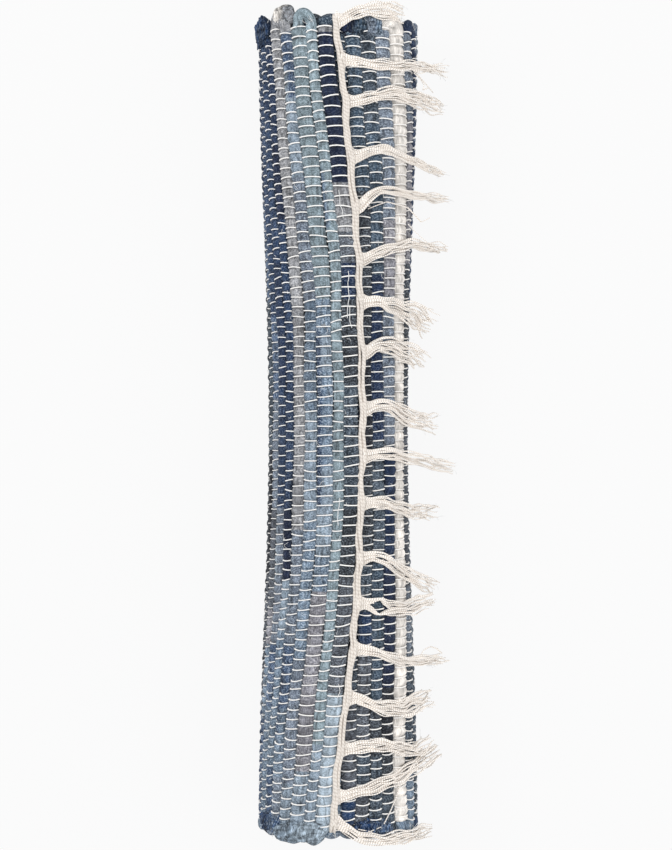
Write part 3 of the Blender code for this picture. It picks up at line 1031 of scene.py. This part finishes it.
        r = (self.yarn_radius * (1.0 - 0.24 * aside + 0.13 * first))[:, :, None]
        s_ring = s[:, :, None] + r * 0.82 * np.sin(turn) * up_s[:, :, None]
        n_ring = n[:, :, None] + r * 0.82 * np.sin(turn) * up_n[:, :, None]
        y_ring = y[:, :, None] - r * 1.22 * np.cos(turn)
        points = self.cloth.place(s_ring, y_ring, n_ring)
        lines = self.cloth.place(s, y, n)
        girth = np.full(self.yarn_count, math.tau * self.yarn_radius)
        return Tubes(points, along(lines) + low, girth).mesh(name, [self.palette.warp])

    def lengthwise(self, name: str, courses: tuple[tuple[float, float, float], ...]) -> bpy.types.Mesh:
        """Pale threads pulled out of a rag that run along it, over the warp.

        Args:
            name: the mesh's name.
            courses: for each, its length of cloth from the header cord, and where it begins and ends
                across the weave.

        Returns:
            The mesh.
        """
        rng = np.random.default_rng((self.seed, 61))
        share = np.linspace(0.0, 1.0, 44)
        lines = []
        for middle, begin, end in courses:
            y = begin + (end - begin) * share
            s = middle + 0.9 * MM * drift(rng, y, 5.0 * MM)
            n = self.half_thick + 0.35 * MM + 0.4 * MM * np.abs(drift(rng, y, 3.0 * MM))
            lines.append(self.cloth.place(s, y, n))
        paths = np.stack(lines)
        return yarns(paths, np.full(paths.shape[:2], 0.26 * MM), 5).mesh(name, [self.palette.lint])

    def frays(self, name: str, numbers: list[int], each: int, seed: int) -> bpy.types.Mesh:
        """Loose threads that stand out of the rags' raw edges and turns.

        Args:
            name: the mesh's name.
            numbers: which picks.
            each: threads on each pick.
            seed: of the random numbers.

        Returns:
            The mesh.
        """
        rng = np.random.default_rng((self.seed, seed))
        lines = []
        share = np.linspace(0.0, 1.0, 7)
        for number in numbers:
            pick = self.plan.picks[number]
            heading = -1.0 if number % 2 == 0 else 1.0
            for _ in range(each):
                at_end = rng.uniform() < 0.35
                u0 = rng.uniform(-0.5, 0.5) * pick.width
                if at_end:
                    y0 = (self.half_span + rng.uniform(2.0, 7.0) * MM) * heading
                else:
                    y0 = rng.uniform(-0.28, 0.28)
                away = rng.normal(0.0, 2.2, 2) * MM
                if at_end:
                    away[1] = abs(away[1] + 3.0 * MM) * heading
                curl = rng.normal(0.0, 0.9 * MM, 2)
                arch = np.sin(math.pi * share)
                s = pick.middle + u0 + away[0] * share + curl[0] * arch
                y = y0 + away[1] * share + curl[1] * arch
                high = rng.uniform(0.2, 0.9) * MM
                n = self.half_thick * 0.9 + high * arch + 0.3 * MM * share
                lines.append(self.cloth.place(s, y, n))
        paths = np.stack(lines)
        radius = np.full(paths.shape[:2], 0.14 * MM) * np.linspace(1.0, 0.6, paths.shape[1])
        return yarns(paths, radius, 4).mesh(name, [self.palette.lint])


def slice_between(
    mesh: bpy.types.Mesh, cloth: RolledCloth, low: float | None, high: float | None
) -> bpy.types.Mesh:
    """Cuts a mesh to what lies between two windings, and closes it where it is cut.

    Args:
        mesh: the mesh, which spans less than half a turn.
        cloth: the rolled cloth.
        low: winding to cut away everything before, or None.
        high: winding to cut away everything after, or None.

    Returns:
        The same mesh.
    """
    shape = bmesh.new()
    shape.from_mesh(mesh)
    centre = Vector((0.0, 0.0, float(cloth.height)))
    for winding, sign in ((low, -1.0), (high, 1.0)):
        if winding is None:
            continue
        angle = math.radians(winding)
        onward = Vector((-math.sin(angle), 0.0, math.cos(angle)))
        geometry = [*shape.verts, *shape.edges, *shape.faces]
        cut = bmesh.ops.bisect_plane(
            shape, geom=geometry, plane_co=centre, plane_no=onward * sign, clear_outer=True, dist=1e-7
        )
        rim = [e for e in cut["geom_cut"] if isinstance(e, bmesh.types.BMEdge) and e.is_boundary]
        bmesh.ops.holes_fill(shape, edges=rim, sides=0)
        for edge in rim:
            edge.smooth = False
    shape.to_mesh(mesh)
    shape.free()
    return mesh


@dataclass
class WovenRug:
    """The woven cloth: the flap that unrolls, in stretches, and the rolled rest."""

    cloth: RolledCloth
    weave: Weave
    PULLED = (
        (8.6 * MM, 0.112, 0.078),
        (7.4 * MM, 0.086, 0.071),
        (9.8 * MM, 0.170, 0.150),
        (6.0 * MM, -0.186, -0.196),
        (17.5 * MM, -0.052, -0.072),
    )
    FLAP_FOLDS = (
        EdgeFold(5.0 * MM, 48.0 * MM, -0.2940, 7.4 * MM, (Rag.ICE, Rag.PALE_BLUE), 2.4 * MM),
        EdgeFold(41.0 * MM, 70.0 * MM, -0.2890, 7.0 * MM, (Rag.MID_BLUE, Rag.INDIGO)),
        EdgeFold(29.0 * MM, 49.0 * MM, 0.2975, 6.0 * MM, (Rag.TAUPE, Rag.CREAM), 1.6 * MM),
        EdgeFold(54.0 * MM, 82.0 * MM, 0.2895, 10.4 * MM, (Rag.INDIGO, Rag.INDIGO), 3.2 * MM),
    )
    ROLL_FOLDS = (
        EdgeFold(311.0 * MM, 331.0 * MM, 0.2895, 7.4 * MM, (Rag.SLATE_TEAL, Rag.MIDNIGHT)),
        EdgeFold(300.5 * MM, 312.5 * MM, 0.2895, 7.4 * MM, (Rag.WASHED, Rag.GREY_BLUE)),
        EdgeFold(297.0 * MM, 328.0 * MM, -0.2905, 6.5 * MM, (Rag.MID_BLUE, Rag.INDIGO)),
    )
    still: float = 260.0  # winding up to which the cloth bends when it unrolls
    shown: float = 622.0  # winding up to which the cloth can be seen, with the flap open
    coarse: float = 440.0  # winding past which the cloth shows only when the flap is open
    spare: float = 1.15  # share of the edge's bow by which a stretch's picks and yarns reach past it
    margin: float = 2.0 * MM  # by which its yarns reach past that
    # Rings between two yarns, sides of a rag and sides of a yarn, where the cloth shows well and where not
    FINE = (4, 12, 6)
    PLAIN = (3, 10, 5)

    def _reach(self, low: float, high: float) -> list[int]:
        """Numbers of the picks with a part between two windings, at any place along the roll."""
        found = []
        for pick in self.weave.plan.picks:
            near = float(self.cloth.winding_at(pick.start - 3.0 * MM))
            far = float(self.cloth.winding_at(pick.start + pick.width * 2 + 3.0 * MM))
            if near < high and far + self.spare * self.cloth.bow > low:
                found.append(pick.number)
        return found

    def build_flap(self) -> None:
        """Makes the stretches of cloth that unroll."""
        cloth, weave = self.cloth, self.weave
        marks = [*cloth.stretch_starts, self.still]
        for k in range(cloth.bands):
            low, high = (marks[k] if k else None), marks[k + 1]
            near = marks[k] if k else cloth.edge - 15.0
            name = f"flap_{k + 1:02d}"
            numbers = self._reach(near, high)
            rings, sides, yarn_sides = self.FINE
            rags = slice_between(weave.rags(f"rag_weft_{name}", numbers, rings, sides), cloth, low, high)
            piece = add_piece(rags)
            first = max(0.0, float(cloth.run_at(near - self.spare * cloth.bow)) - self.margin)
            last = float(cloth.run_at(high)) + self.margin
            warp = slice_between(weave.warp(f"warp_yarns_{name}", first, last, yarn_sides), cloth, low, high)
            inside = [
                n
                for n in numbers
                if near < float(cloth.winding_at(weave.plan.picks[n].middle)) + 0.5 * cloth.bow <= high
            ]
            frays = weave.frays(f"frays_{name}", inside or numbers[:1], 14, k)
            others = [add_piece(mesh) for mesh in (warp, frays)]
            if k == 0:
                others.append(add_piece(weave.lengthwise("pulled_threads", self.PULLED)))
            for number, fold in enumerate(self.FLAP_FOLDS):
                mesh = slice_between(weave.fold(f"rag_fold_{name}_{number}", fold, number), cloth, low, high)
                if mesh.polygons:
                    others.append(add_piece(mesh))
                else:
                    bpy.data.meshes.remove(mesh)
            start, end = cloth.middle_of(marks[k]), cloth.middle_of(marks[k + 1])
            for one in (piece, *others):
                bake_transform(one)
            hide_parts(f"weft_band_{k + 1:02d}")

    def build_rest(self) -> None:
        """Makes the cloth that stays rolled: what shows of it in full, the rest for its two ends."""
        cloth, weave = self.cloth, self.weave
        numbers = self._reach(self.still, self.shown)
        groups = [numbers[at : at + 10] for at in range(0, len(numbers), 10)]
        for k, group in enumerate(groups):
            first, last = (weave.plan.picks[group[at]] for at in (0, -1))
            near = float(cloth.winding_at(first.start)) < self.coarse
            rings, sides, yarn_sides = self.FINE if near else self.PLAIN
            low, high = first.start + 0.1 * MM, last.start + last.width - 0.1 * MM
            rags = weave.rags(f"rag_weft_roll_{k}", group, rings, sides)
            warp = weave.warp(f"warp_yarns_roll_{k}", low, high, yarn_sides)
            if k == 0:
                slice_between(rags, cloth, self.still, None)
                slice_between(warp, cloth, self.still, None)
            piece = add_piece(rags, "roll")
            frays = weave.frays(f"frays_roll_{k}", group, 12, 40 + k)
            others = [add_piece(mesh, "roll") for mesh in (warp, frays)]
            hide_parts(f"weft_band_{8 + k:02d}")
            for number, fold in enumerate(self.ROLL_FOLDS):
                if low <= fold.start < high:
                    mesh = weave.fold(f"rag_fold_roll_{number}", fold, 20 + number)
                    others.append(add_piece(mesh, "roll"))
            start = max(low, float(cloth.run_at(self.still))) if k == 0 else low
        self._inner(groups[-1][-1] + 1, 8 + len(groups))

    def _inner(self, first: int, band: int) -> None:
        """The turns inside, which show only as spirals of turned rags at the two ends."""
        picks = self.weave.plan.picks
        mesh = self.weave.rags("rag_weft_inner", list(range(first, len(picks))), 0, 8)
        piece = add_piece(mesh, "roll")
        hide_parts(*[f"weft_band_{k:02d}" for k in range(band, 28)])


# ---------------------------------------------------------------- header cord and fringe


@dataclass(frozen=True)
class Lie:
    """How one tassel lies.

    Args:
        course: places in mm that it passes, as (x, y), from the header cord to its tip.
        flare: half its width at the tip, in mm.
        strands: how many cords it has.
        parting: how wide it opens into an eye near its root, in mm to each side.
    """

    course: tuple[tuple[float, float], ...]
    flare: float
    strands: int = 16
    parting: float = 0.0


@dataclass
class Fringe:
    """The free end's header cord, with the warp ends gathered into eighteen knotted tassels."""

    cloth: RolledCloth
    palette: Palette
    header_cords: int = 5
    header_radius: float = 1.12 * MM  # of each of its cords
    header_twist: float = 0.15  # length of one turn
    header_ends: tuple[float, float] = (-0.2930, 0.2965)
    strand_radius: float = 0.71 * MM
    stray_radius: float = 0.56 * MM
    fibre_radius: float = 0.13 * MM
    root: float = 5.6 * MM  # half a tassel's width where it leaves the header cord
    neck: float = 3.5 * MM  # half its width where it is drawn together
    neck_reach: float = 7.0 * MM  # from the header cord to there
    eye: float = 18.0 * MM  # from the header cord to the middle of an open eye
    hang: float = 43.0  # winding of the roll's side below which a tassel hangs free
    bend: float = 9.0 * MM  # length of a tassel that bends when it is lifted
    points: int = 46
    seed: int = 9

    LIES = (
        Lie(((2, 292), (10, 297.5), (23, 301.5), (36, 301.5), (47, 299.5)), 5.6, 19),
        Lie(((7, 264), (20, 262), (38, 261), (56, 264), (80, 264)), 3.4, 15),
        Lie(((9, 234), (22, 237), (36, 242), (54, 240), (76, 235)), 5.4, 17),
        Lie(((13, 194), (21, 198.5), (32, 201.5), (50, 195.5), (77, 187.4)), 2.2, 16),
        Lie(((15, 158), (22, 166), (30, 172), (57, 169), (80, 169)), 2.4, 15),
        Lie(((18, 120), (24, 124), (31, 127), (52, 134), (80, 131)), 3.2, 16),
        Lie(((20, 90), (28, 91), (36, 89), (57, 81), (68, 73)), 8.6, 19),
        Lie(((20, 53), (26, 58), (32, 60), (52, 53), (64, 46)), 7.6, 18),
        Lie(((20, 12), (28, 16), (36, 15), (55, 5), (72, 2)), 6.6, 17),
        Lie(((20, -22), (28, -20), (36, -20), (62, -26), (85, -31)), 4.4, 14),
        Lie(((20, -56), (28, -55), (36, -57), (52, -63), (73, -64)), 5.0, 16),
        Lie(((18, -96), (23, -94), (30, -95), (46, -107), (71, -120)), 5.0, 16),
        Lie(((14, -128), (22, -129), (32, -132), (46, -134), (69, -128)), 5.4, 18, 5.2),
        Lie(((13, -161), (19, -162), (25, -163.5), (46, -172), (80, -174)), 3.0, 15),
        Lie(((13, -196), (19, -199), (25, -202), (46, -207), (68, -200)), 7.0, 17),
        Lie(((7, -233), (18, -231), (30, -231), (57, -238), (68, -231)), 5.0, 15),
        Lie(((4, -267), (14, -264), (25, -261), (46, -254), (73, -240)), 5.2, 16),
        Lie(((-2, -285), (5, -290), (14, -296), (30, -300.5), (68, -298)), 4.2, 15),
    )

    def cord_line(self, y: np.ndarray) -> np.ndarray:
        """The header cord's middle line."""
        winding = self.cloth.edge + self.cloth.lag(np.full_like(y, self.cloth.edge), y)
        return self.cloth.at_winding(winding, y, np.full_like(y, 0.3 * MM))

    def build_header(self) -> None:
        """Five soft cords laid together with hardly a twist, drawn in at every tassel."""
        y = np.linspace(*self.header_ends, 380)
        middle = self.cord_line(y)
        rng = np.random.default_rng(self.seed)
        roots = np.array([lie.course[0][1] for lie in self.LIES]) * MM
        near = np.abs(y[:, None] - roots[None, :]).min(axis=1)
        gathered = 0.93 + 0.22 * np.exp(-((near / (5.0 * MM)) ** 2))
        sway = 0.55 * MM * np.cos(math.pi * near / (17.0 * MM)) + 0.4 * MM * drift(rng, y, 0.05)
        lines = []
        for k in range(self.header_cords):
            turn = math.tau * (k / self.header_cords + y / self.header_twist) + 0.9 * drift(rng, y, 0.02)
            line = middle.copy()
            line[:, 0] += 1.7 * MM * gathered * np.cos(turn) + 0.35 * MM * drift(rng, y, 0.008) + sway
            line[:, 2] += 1.0 * MM * gathered * np.sin(turn) + 0.8 * MM
            lines.append(line)
        radius = self.header_radius * (1.0 + 0.08 * np.stack([drift(rng, y, 0.006) for _ in lines]))
        radius *= np.sqrt(np.clip((np.minimum(y - y[0], y[-1] - y) / (4.0 * MM)) + 0.12, 0.0, 1.0))
        mesh = yarns(np.stack(lines), radius, 8).mesh("header_cord_twisted", [self.palette.header])
        piece = add_piece(mesh)
        start, end = (self.cloth.middle_of(winding) for winding in self.cloth.stretch_starts[:2])
        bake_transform(piece)
        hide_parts("header_cord")

    def side_line(self, y: float) -> np.ndarray:
        """The roll's surface at a place along it, from where a tassel hangs free back to the roll's top."""
        windings = np.arange(360.0 + self.hang, 360.0 + 112.0, 0.5)[::-1]
        outside = np.full_like(windings, self.cloth.thickness / 2)
        return self.cloth.at_winding(windings, np.full_like(windings, y), outside)

    def fall(self, x: np.ndarray, y: float) -> tuple[np.ndarray, np.ndarray]:
        """The roll's surface beside the header cord, and where a tassel hangs free of it.

        Args:
            x: places across the roll, growing.
            y: place along the roll.

        Returns:
            The surface's height, and its slope as an angle from level.
        """
        line = self.side_line(y)
        last = line[-1]
        slope = -1.0 / math.tan(math.radians(self.hang))
        z = np.where(x <= last[0], np.interp(x, line[:, 0], line[:, 2]), last[2] + (x - last[0]) * slope)
        return z, np.arctan(np.gradient(z, x))

    def course_of(self, lie: Lie) -> tuple[np.ndarray, np.ndarray, float]:
        """A line through a tassel's places, without their corners.

        Args:
            lie: how the tassel lies.

        Returns:
            Its places across and along the roll, and its length.
        """
        course = (np.array(lie.course) - (1.3, 0.0)) * MM
        knots = np.concatenate([[0.0], np.cumsum(np.hypot(*np.diff(course, axis=0).T))])
        fine = np.linspace(0.0, knots[-1], 200)
        kernel = np.hanning(41) / np.hanning(41).sum()
        eased = []
        for values in course.T:
            raw = np.interp(fine, knots, values)
            padded = np.concatenate([2 * raw[0] - raw[20:0:-1], raw, 2 * raw[-1] - raw[-2:-22:-1]])
            at = np.linspace(0.0, 1.0, self.points) * knots[-1]
            eased.append(np.interp(at, fine, np.convolve(padded, kernel, "valid")))
        return eased[0], eased[1], knots[-1]

    def tassel(self, number: int, lie: Lie) -> None:
        """One tassel: strands fanning out of the header cord, drawn together, then loose and wavy.

        Args:
            number: counted from the +Y end, from 1.
            lie: how it lies.
        """
        rng = np.random.default_rng((self.seed, number))
        x, y, whole = self.course_of(lie)
        t = np.linspace(0.0, 1.0, self.points)
        root = self.cord_line(y[:1])[0]
        x[0] = root[0] + 0.2 * MM
        x = np.maximum.accumulate(x + np.arange(len(x)) * 1e-7)
        z, slope = self.fall(x, float(y.mean()))
        heading = np.arctan2(np.gradient(y), np.gradient(x))
        reach = along(np.stack([x, y, z], axis=1)[None])[0]
        header_top = float(root[2]) + 1.4 * MM
        count = lie.strands
        rank = np.linspace(-1.0, 1.0, count)
        level = rng.permutation(np.tile([0.0, 1.0, 2.0], count // 3 + 1)[:count])
        gather = smooth(reach / self.neck_reach)
        fan = self.neck + (lie.flare * MM - self.neck) * smooth(t * 1.15)
        spread = self.root * (1 - gather) + gather * fan
        paths = np.zeros((count, self.points, 3))
        group = rng.uniform(0, math.tau)
        waves = (reach / (rng.uniform(21.0, 28.0) * MM)) * math.tau
        loose = smooth((reach - 5.0 * MM) / (16.0 * MM))
        wild = 0.75 + 0.09 * lie.flare
        for k in range(count):
            own = rng.uniform(0.84, 1.08)
            wander = drift(rng, reach, 17.0 * MM)
            wave = wild * 0.5 * MM * np.sin(waves * rng.uniform(0.92, 1.08) + group + 1.3 * rank[k])
            curl = 1.5 * MM * wild * drift(rng, reach, 9.0 * MM) * smooth((t - 0.62) / 0.38)
            split = np.exp(-(((reach - self.eye) / (6.2 * MM)) ** 2)) * (lie.parting > 0.0)
            sideways = rank[k] * spread + (wave + 0.85 * MM * wild * wander + curl) * loose
            sideways = sideways * (1.0 - 0.72 * split) + math.copysign(lie.parting, rank[k]) * MM * split
            bob = 0.55 * MM * np.sin(waves * 0.8 + 2.0 * rank[k] + group)
            bob = bob + 0.5 * MM * drift(rng, reach, 11.0 * MM)
            pile = (0.7 * MM + level[k] * 0.95 * MM) * (1.0 - 0.25 * t) + (bob + 0.4 * MM) * loose
            pile = np.maximum(pile, 0.45 * MM)
            stretch = t * own
            px = np.interp(stretch, t, x) if own < 1 else x + np.clip(t - 0.8, 0, 1) * (own - 1.0) * whole
            py = np.interp(stretch, t, y) if own < 1 else y
            pz = np.interp(stretch, t, z) if own < 1 else z + (px - x) * np.tan(slope)
            paths[k, :, 0] = px - np.sin(heading) * sideways + np.sin(slope) * -pile
            paths[k, :, 1] = py + np.cos(heading) * sideways
            paths[k, :, 2] = pz + np.cos(slope) * pile
            rise = 1.0 - smooth(reach / (6.5 * MM))
            top = header_top + (0.4 - 1.1 * rank[k] ** 2) * MM
            paths[k, :, 2] = paths[k, :, 2] * (1 - rise) + np.maximum(paths[k, :, 2], top) * rise
        radius = np.full((count, self.points), self.strand_radius)
        radius *= rng.uniform(0.85, 1.15, (count, 1)) * (1.0 - 0.35 * smooth((t - 0.9) / 0.1))[None, :]
        parts = [
            yarns(paths, radius, 6).mesh("strands", [self.palette.cord]),
            self._web(rng, np.stack([x, y, z], axis=1), reach, header_top),
            self._fuzz(rng, paths),
        ]
        name = f"tassel_{number:02d}"
        piece = add_piece(self._joined(f"{name}_strands", parts))
        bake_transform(piece)
        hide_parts(name)

    def _web(
        self, rng: np.random.Generator, line: np.ndarray, reach: np.ndarray, top: float
    ) -> bpy.types.Mesh:
        """Strands that leave the header cord to each side of a tassel and run into its root.

        Args:
            rng: where the random numbers come from.
            line: the tassel's middle line.
            reach: distance along it.
            top: height of the header cord's top here.

        Returns:
            The mesh.
        """
        share = np.linspace(0.0, 1.0, 16)
        eased = smooth(share)
        lines = []
        for away in (-8.0, -6.4, -4.8, -3.2, -1.4, 1.4, 3.2, 4.8, 6.4, 8.0):
            y0 = np.full_like(share, line[0, 1] + (away + rng.normal(0.0, 0.3)) * MM * (1.0 - 0.45 * share))
            root = self.cord_line(y0) + np.array([1.2 * MM, 0.0, 0.9 * MM])
            root[:, 0] += 2.0 * MM * share
            end = reach[0] + share * rng.uniform(10.0, 14.0) * MM
            goal = np.stack([np.interp(end, reach, line[:, k]) for k in range(3)], axis=1)
            goal[:, 1] += 0.34 * away * MM
            goal[:, 2] += (2.2 - 0.11 * abs(away)) * MM
            lines.append(root * (1.0 - eased)[:, None] + goal * eased[:, None])
        paths = np.stack(lines)
        paths[:, :, 2] = np.minimum(paths[:, :, 2], top + 0.5 * MM)
        return yarns(paths, np.full(paths.shape[:2], 0.62 * MM), 6).mesh("web", [self.palette.cord])

    def _fuzz(self, rng: np.random.Generator, paths: np.ndarray) -> bpy.types.Mesh:
        """Fine fibres that come loose from the strands, most of them at their tips."""
        share = np.linspace(0.0, 1.0, 6)
        lines = []
        for _ in range(26):
            strand = paths[rng.integers(len(paths))]
            at = min(self.points - 2, int(self.points * rng.beta(2.4, 0.9)))
            ahead = strand[at + 1] - strand[at]
            ahead = ahead / (np.linalg.norm(ahead) + 1e-9)
            onward = ahead * rng.uniform(2.0, 7.0) * MM
            away = onward + rng.normal(0.0, 1.5 * MM, 3) * np.array([0.6, 1.0, 0.5])
            away[2] = max(away[2], ahead[2] * 6.0 * MM) + 0.4 * MM
            curl = rng.normal(0.0, 0.8 * MM, 3)
            arch = np.sin(math.pi * share)[:, None]
            lines.append(strand[at] + away * share[:, None] + curl * arch)
        fibres = np.stack(lines)
        radius = np.full(fibres.shape[:2], self.fibre_radius)
        return yarns(fibres, radius, 4).mesh("fuzz", [self.palette.lint])

    def _joined(self, name: str, meshes: list[bpy.types.Mesh]) -> bpy.types.Mesh:
        """Joins meshes, each with its own material, into one."""
        shape = bmesh.new()
        materials = []
        for part in meshes:
            material = part.materials[0]
            if material not in materials:
                materials.append(material)
            slots = np.full(len(part.polygons), materials.index(material))
            part.polygons.foreach_set("material_index", slots)
            shape.from_mesh(part)
        mesh = mesh_of(name, shape)
        for material in materials:
            mesh.materials.append(material)
        return mesh

    def strays(self) -> None:
        """Single long threads that have come away from the fringe and lie over the roll."""
        courses = (
            ((22, -293), (31, -290), (36, -281), (41, -270), (43, -262)),
            ((13, -291), (22, -293), (30, -299), (44, -301), (60, -299)),
            ((20, 157), (34, 163), (50, 160), (60, 150), (67, 154)),
            ((51, 262), (57, 258), (61, 254), (65, 250), (69, 246)),
            ((54, 259), (59, 255), (62, 251), (61, 247), (65, 249)),
            ((50, 148), (55, 143), (60, 139), (64, 136), (66, 130)),
            ((58, -171), (62, -165), (67, -163), (72, -165), (76, -169)),
        )
        rng = np.random.default_rng((self.seed, 99))
        lines = []
        t = np.linspace(0.0, 1.0, 30)
        for course in courses:
            places = np.array(course, dtype=float) * MM
            knots = np.linspace(0.0, 1.0, len(places))
            weights = [np.exp(-(((t - k) / 0.13) ** 2)) for k in knots]
            total = sum(weights)
            x = sum(w * p[0] for w, p in zip(weights, places)) / total
            y = sum(w * p[1] for w, p in zip(weights, places)) / total
            line = self.side_line(float(y.mean()))
            z = np.interp(x, line[:, 0], line[:, 2]) + 1.0 * MM + 0.5 * MM * drift(rng, t, 0.2)
            beyond = x > line[-1, 0]
            z[beyond] -= (x[beyond] - line[-1, 0]) * 1.0
            lines.append(np.stack([x, y, z], axis=1))
        paths = np.stack(lines)
        radius = np.full(paths.shape[:2], self.stray_radius)
        mesh = yarns(paths, radius, 6).mesh("stray_threads", [self.palette.cord])
        add_piece(mesh, "roll")

    def build(self) -> None:
        """Makes the header cord, the tassels and the stray threads."""
        self.build_header()
        for number, lie in enumerate(self.LIES, 1):
            self.tassel(number, lie)
        self.strays()


@dataclass
class InnerEnd:
    """The other end's header cord and fringe, rolled into the middle."""

    cloth: RolledCloth
    palette: Palette
    half_length: float = 0.297  # of the cord
    cord_radius: float = 1.1 * MM  # of each of its three cords
    cord_twist: float = 0.04  # length of one turn
    tassels: int = 18
    first_tassel: float = -0.2833
    tassel_gap: float = 33.33 * MM
    tassel_strands: int = 7
    strand_radius: float = 0.55 * MM
    seed: int = 21

    def build(self) -> None:
        """Makes the inner cord and its tucked tassels."""
        rng = np.random.default_rng(self.seed)
        cloth = self.cloth
        last = float(cloth.winding_at(cloth.length)) + 13.0
        y = np.linspace(-self.half_length, self.half_length, 90)
        lines = []
        for k in range(3):
            turn = math.tau * (k / 3 + y / self.cord_twist)
            line = cloth.at_winding(np.full_like(y, last), y, np.zeros_like(y))
            line[:, 0] += self.cord_radius * np.cos(turn)
            line[:, 2] += self.cord_radius * np.sin(turn)
            lines.append(line)
        cord = self._dress("inner_header_twisted", lines, self.cord_radius, 6)
        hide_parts("inner_header_cord")
        strands = []
        share = np.linspace(0.0, 1.0, 14)
        for k in range(self.tassels):
            middle = self.first_tassel + k * self.tassel_gap
            for _ in range(self.tassel_strands):
                winding = last + 22.0 + share * rng.uniform(150.0, 190.0)
                across = middle + rng.uniform(-4.5, 4.5) * MM + 2.0 * MM * rng.normal() * share
                inward = -(cloth.thickness / 2 + (1.2 + rng.uniform(0.0, 1.6)) * MM + 1.6 * MM * share)
                reach = cloth.rho(np.full_like(share, last)) - cloth.thickness / 2 + inward
                x = reach * np.cos(np.radians(winding))
                z = cloth.height + reach * np.sin(np.radians(winding))
                strands.append(np.stack([x, across, z], axis=1))
        fringe = self._dress("inner_fringe_strands", strands, self.strand_radius, 5)
        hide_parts("inner_fringe")

    def _dress(self, name: str, lines: list[np.ndarray], radius: float, around: int) -> bpy.types.Object:
        """Makes one piece of yarns along lines, riding on the roll."""
        paths = np.stack(lines)
        mesh = yarns(paths, np.full(paths.shape[:2], radius), around).mesh(name, [self.palette.cord])
        return add_piece(mesh, "roll")


# ---------------------------------------------------------------- studio


@dataclass
class Studio:
    """A pale floor, soft light from all round and a long lens looking straight down."""

    field_height: float = 0.6205  # of the picture, at the height of the fringe
    focus_height: float = 0.085
    lens: float = 110.0
    look_x: float = -2.8 * MM
    look_y: float = 0.7 * MM

    def build_camera(self) -> None:
        """Makes the camera."""
        data = bpy.data.cameras.new("Camera")
        data.lens = self.lens
        data.sensor_width = 36.0
        data.clip_end = 20.0
        camera = put("Camera", data)
        distance = self.field_height * self.lens / data.sensor_width
        camera.location = (self.look_x, self.look_y, self.focus_height + distance)
        bpy.context.scene.camera = camera

    def build_room(self) -> None:
        """Makes the floor, the sky and the lights."""
        shape = bmesh.new()
        bmesh.ops.create_grid(shape, x_segments=2, y_segments=2, size=6.0)
        mesh = mesh_of("floor", shape)
        table = Nodes("lit white table").surface(
            {
                "Base Color": (0.05, 0.05, 0.05, 1.0),
                "Roughness": 1.0,
                "Specular IOR Level": 0.0,
                "Emission Color": (*linear("#FAFAFA"), 1.0),
                "Emission Strength": 0.945,
            }
        )
        mesh.materials.append(table)
        put("floor", mesh)
        world = bpy.data.worlds.new("studio")
        world.use_nodes = True
        sky = world.node_tree.nodes["Background"]
        sky.inputs["Color"].default_value = (*linear("#F6F8FB"), 1.0)
        sky.inputs["Strength"].default_value = 0.78
        bpy.context.scene.world = world
        for name, place, size, power in (
            ("softbox left", (-1.3, 0.5, 1.9), 1.1, 19.0),
            ("softbox right", (1.5, -0.4, 1.6), 1.4, 15.0),
            ("softbox head", (0.1, 1.9, 1.5), 1.0, 8.0),
        ):
            data = bpy.data.lights.new(name, "AREA")
            data.size = size
            data.energy = power
            lamp = put(name, data)
            lamp.location = place
            aim = Vector((0.0, 0.0, 0.05)) - Vector(place)
            lamp.rotation_euler = aim.to_track_quat("-Z", "Y").to_euler()


def main() -> None:
    """Builds the rug and its studio."""
    logging.basicConfig(level=logging.INFO, format="%(name)s %(message)s")
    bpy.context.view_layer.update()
    bpy.context.scene.view_settings.view_transform = "Standard"
    studio = Studio()
    studio.build_camera()
    studio.build_room()
    palette = Palette()
    cloth = RolledCloth()
    plan = WeftPlan(cloth)
    LOG.info("%d rags in the weft", len(plan.picks))
    rug = WovenRug(cloth, Weave(cloth, plan, palette))
    rug.build_flap()
    rug.build_rest()
    Fringe(cloth, palette).build()
    InnerEnd(cloth, palette).build()
    for form in TubeForm.made.values():
        bpy.data.meshes.remove(form.mesh)


if __name__ == "__main__":
    main()
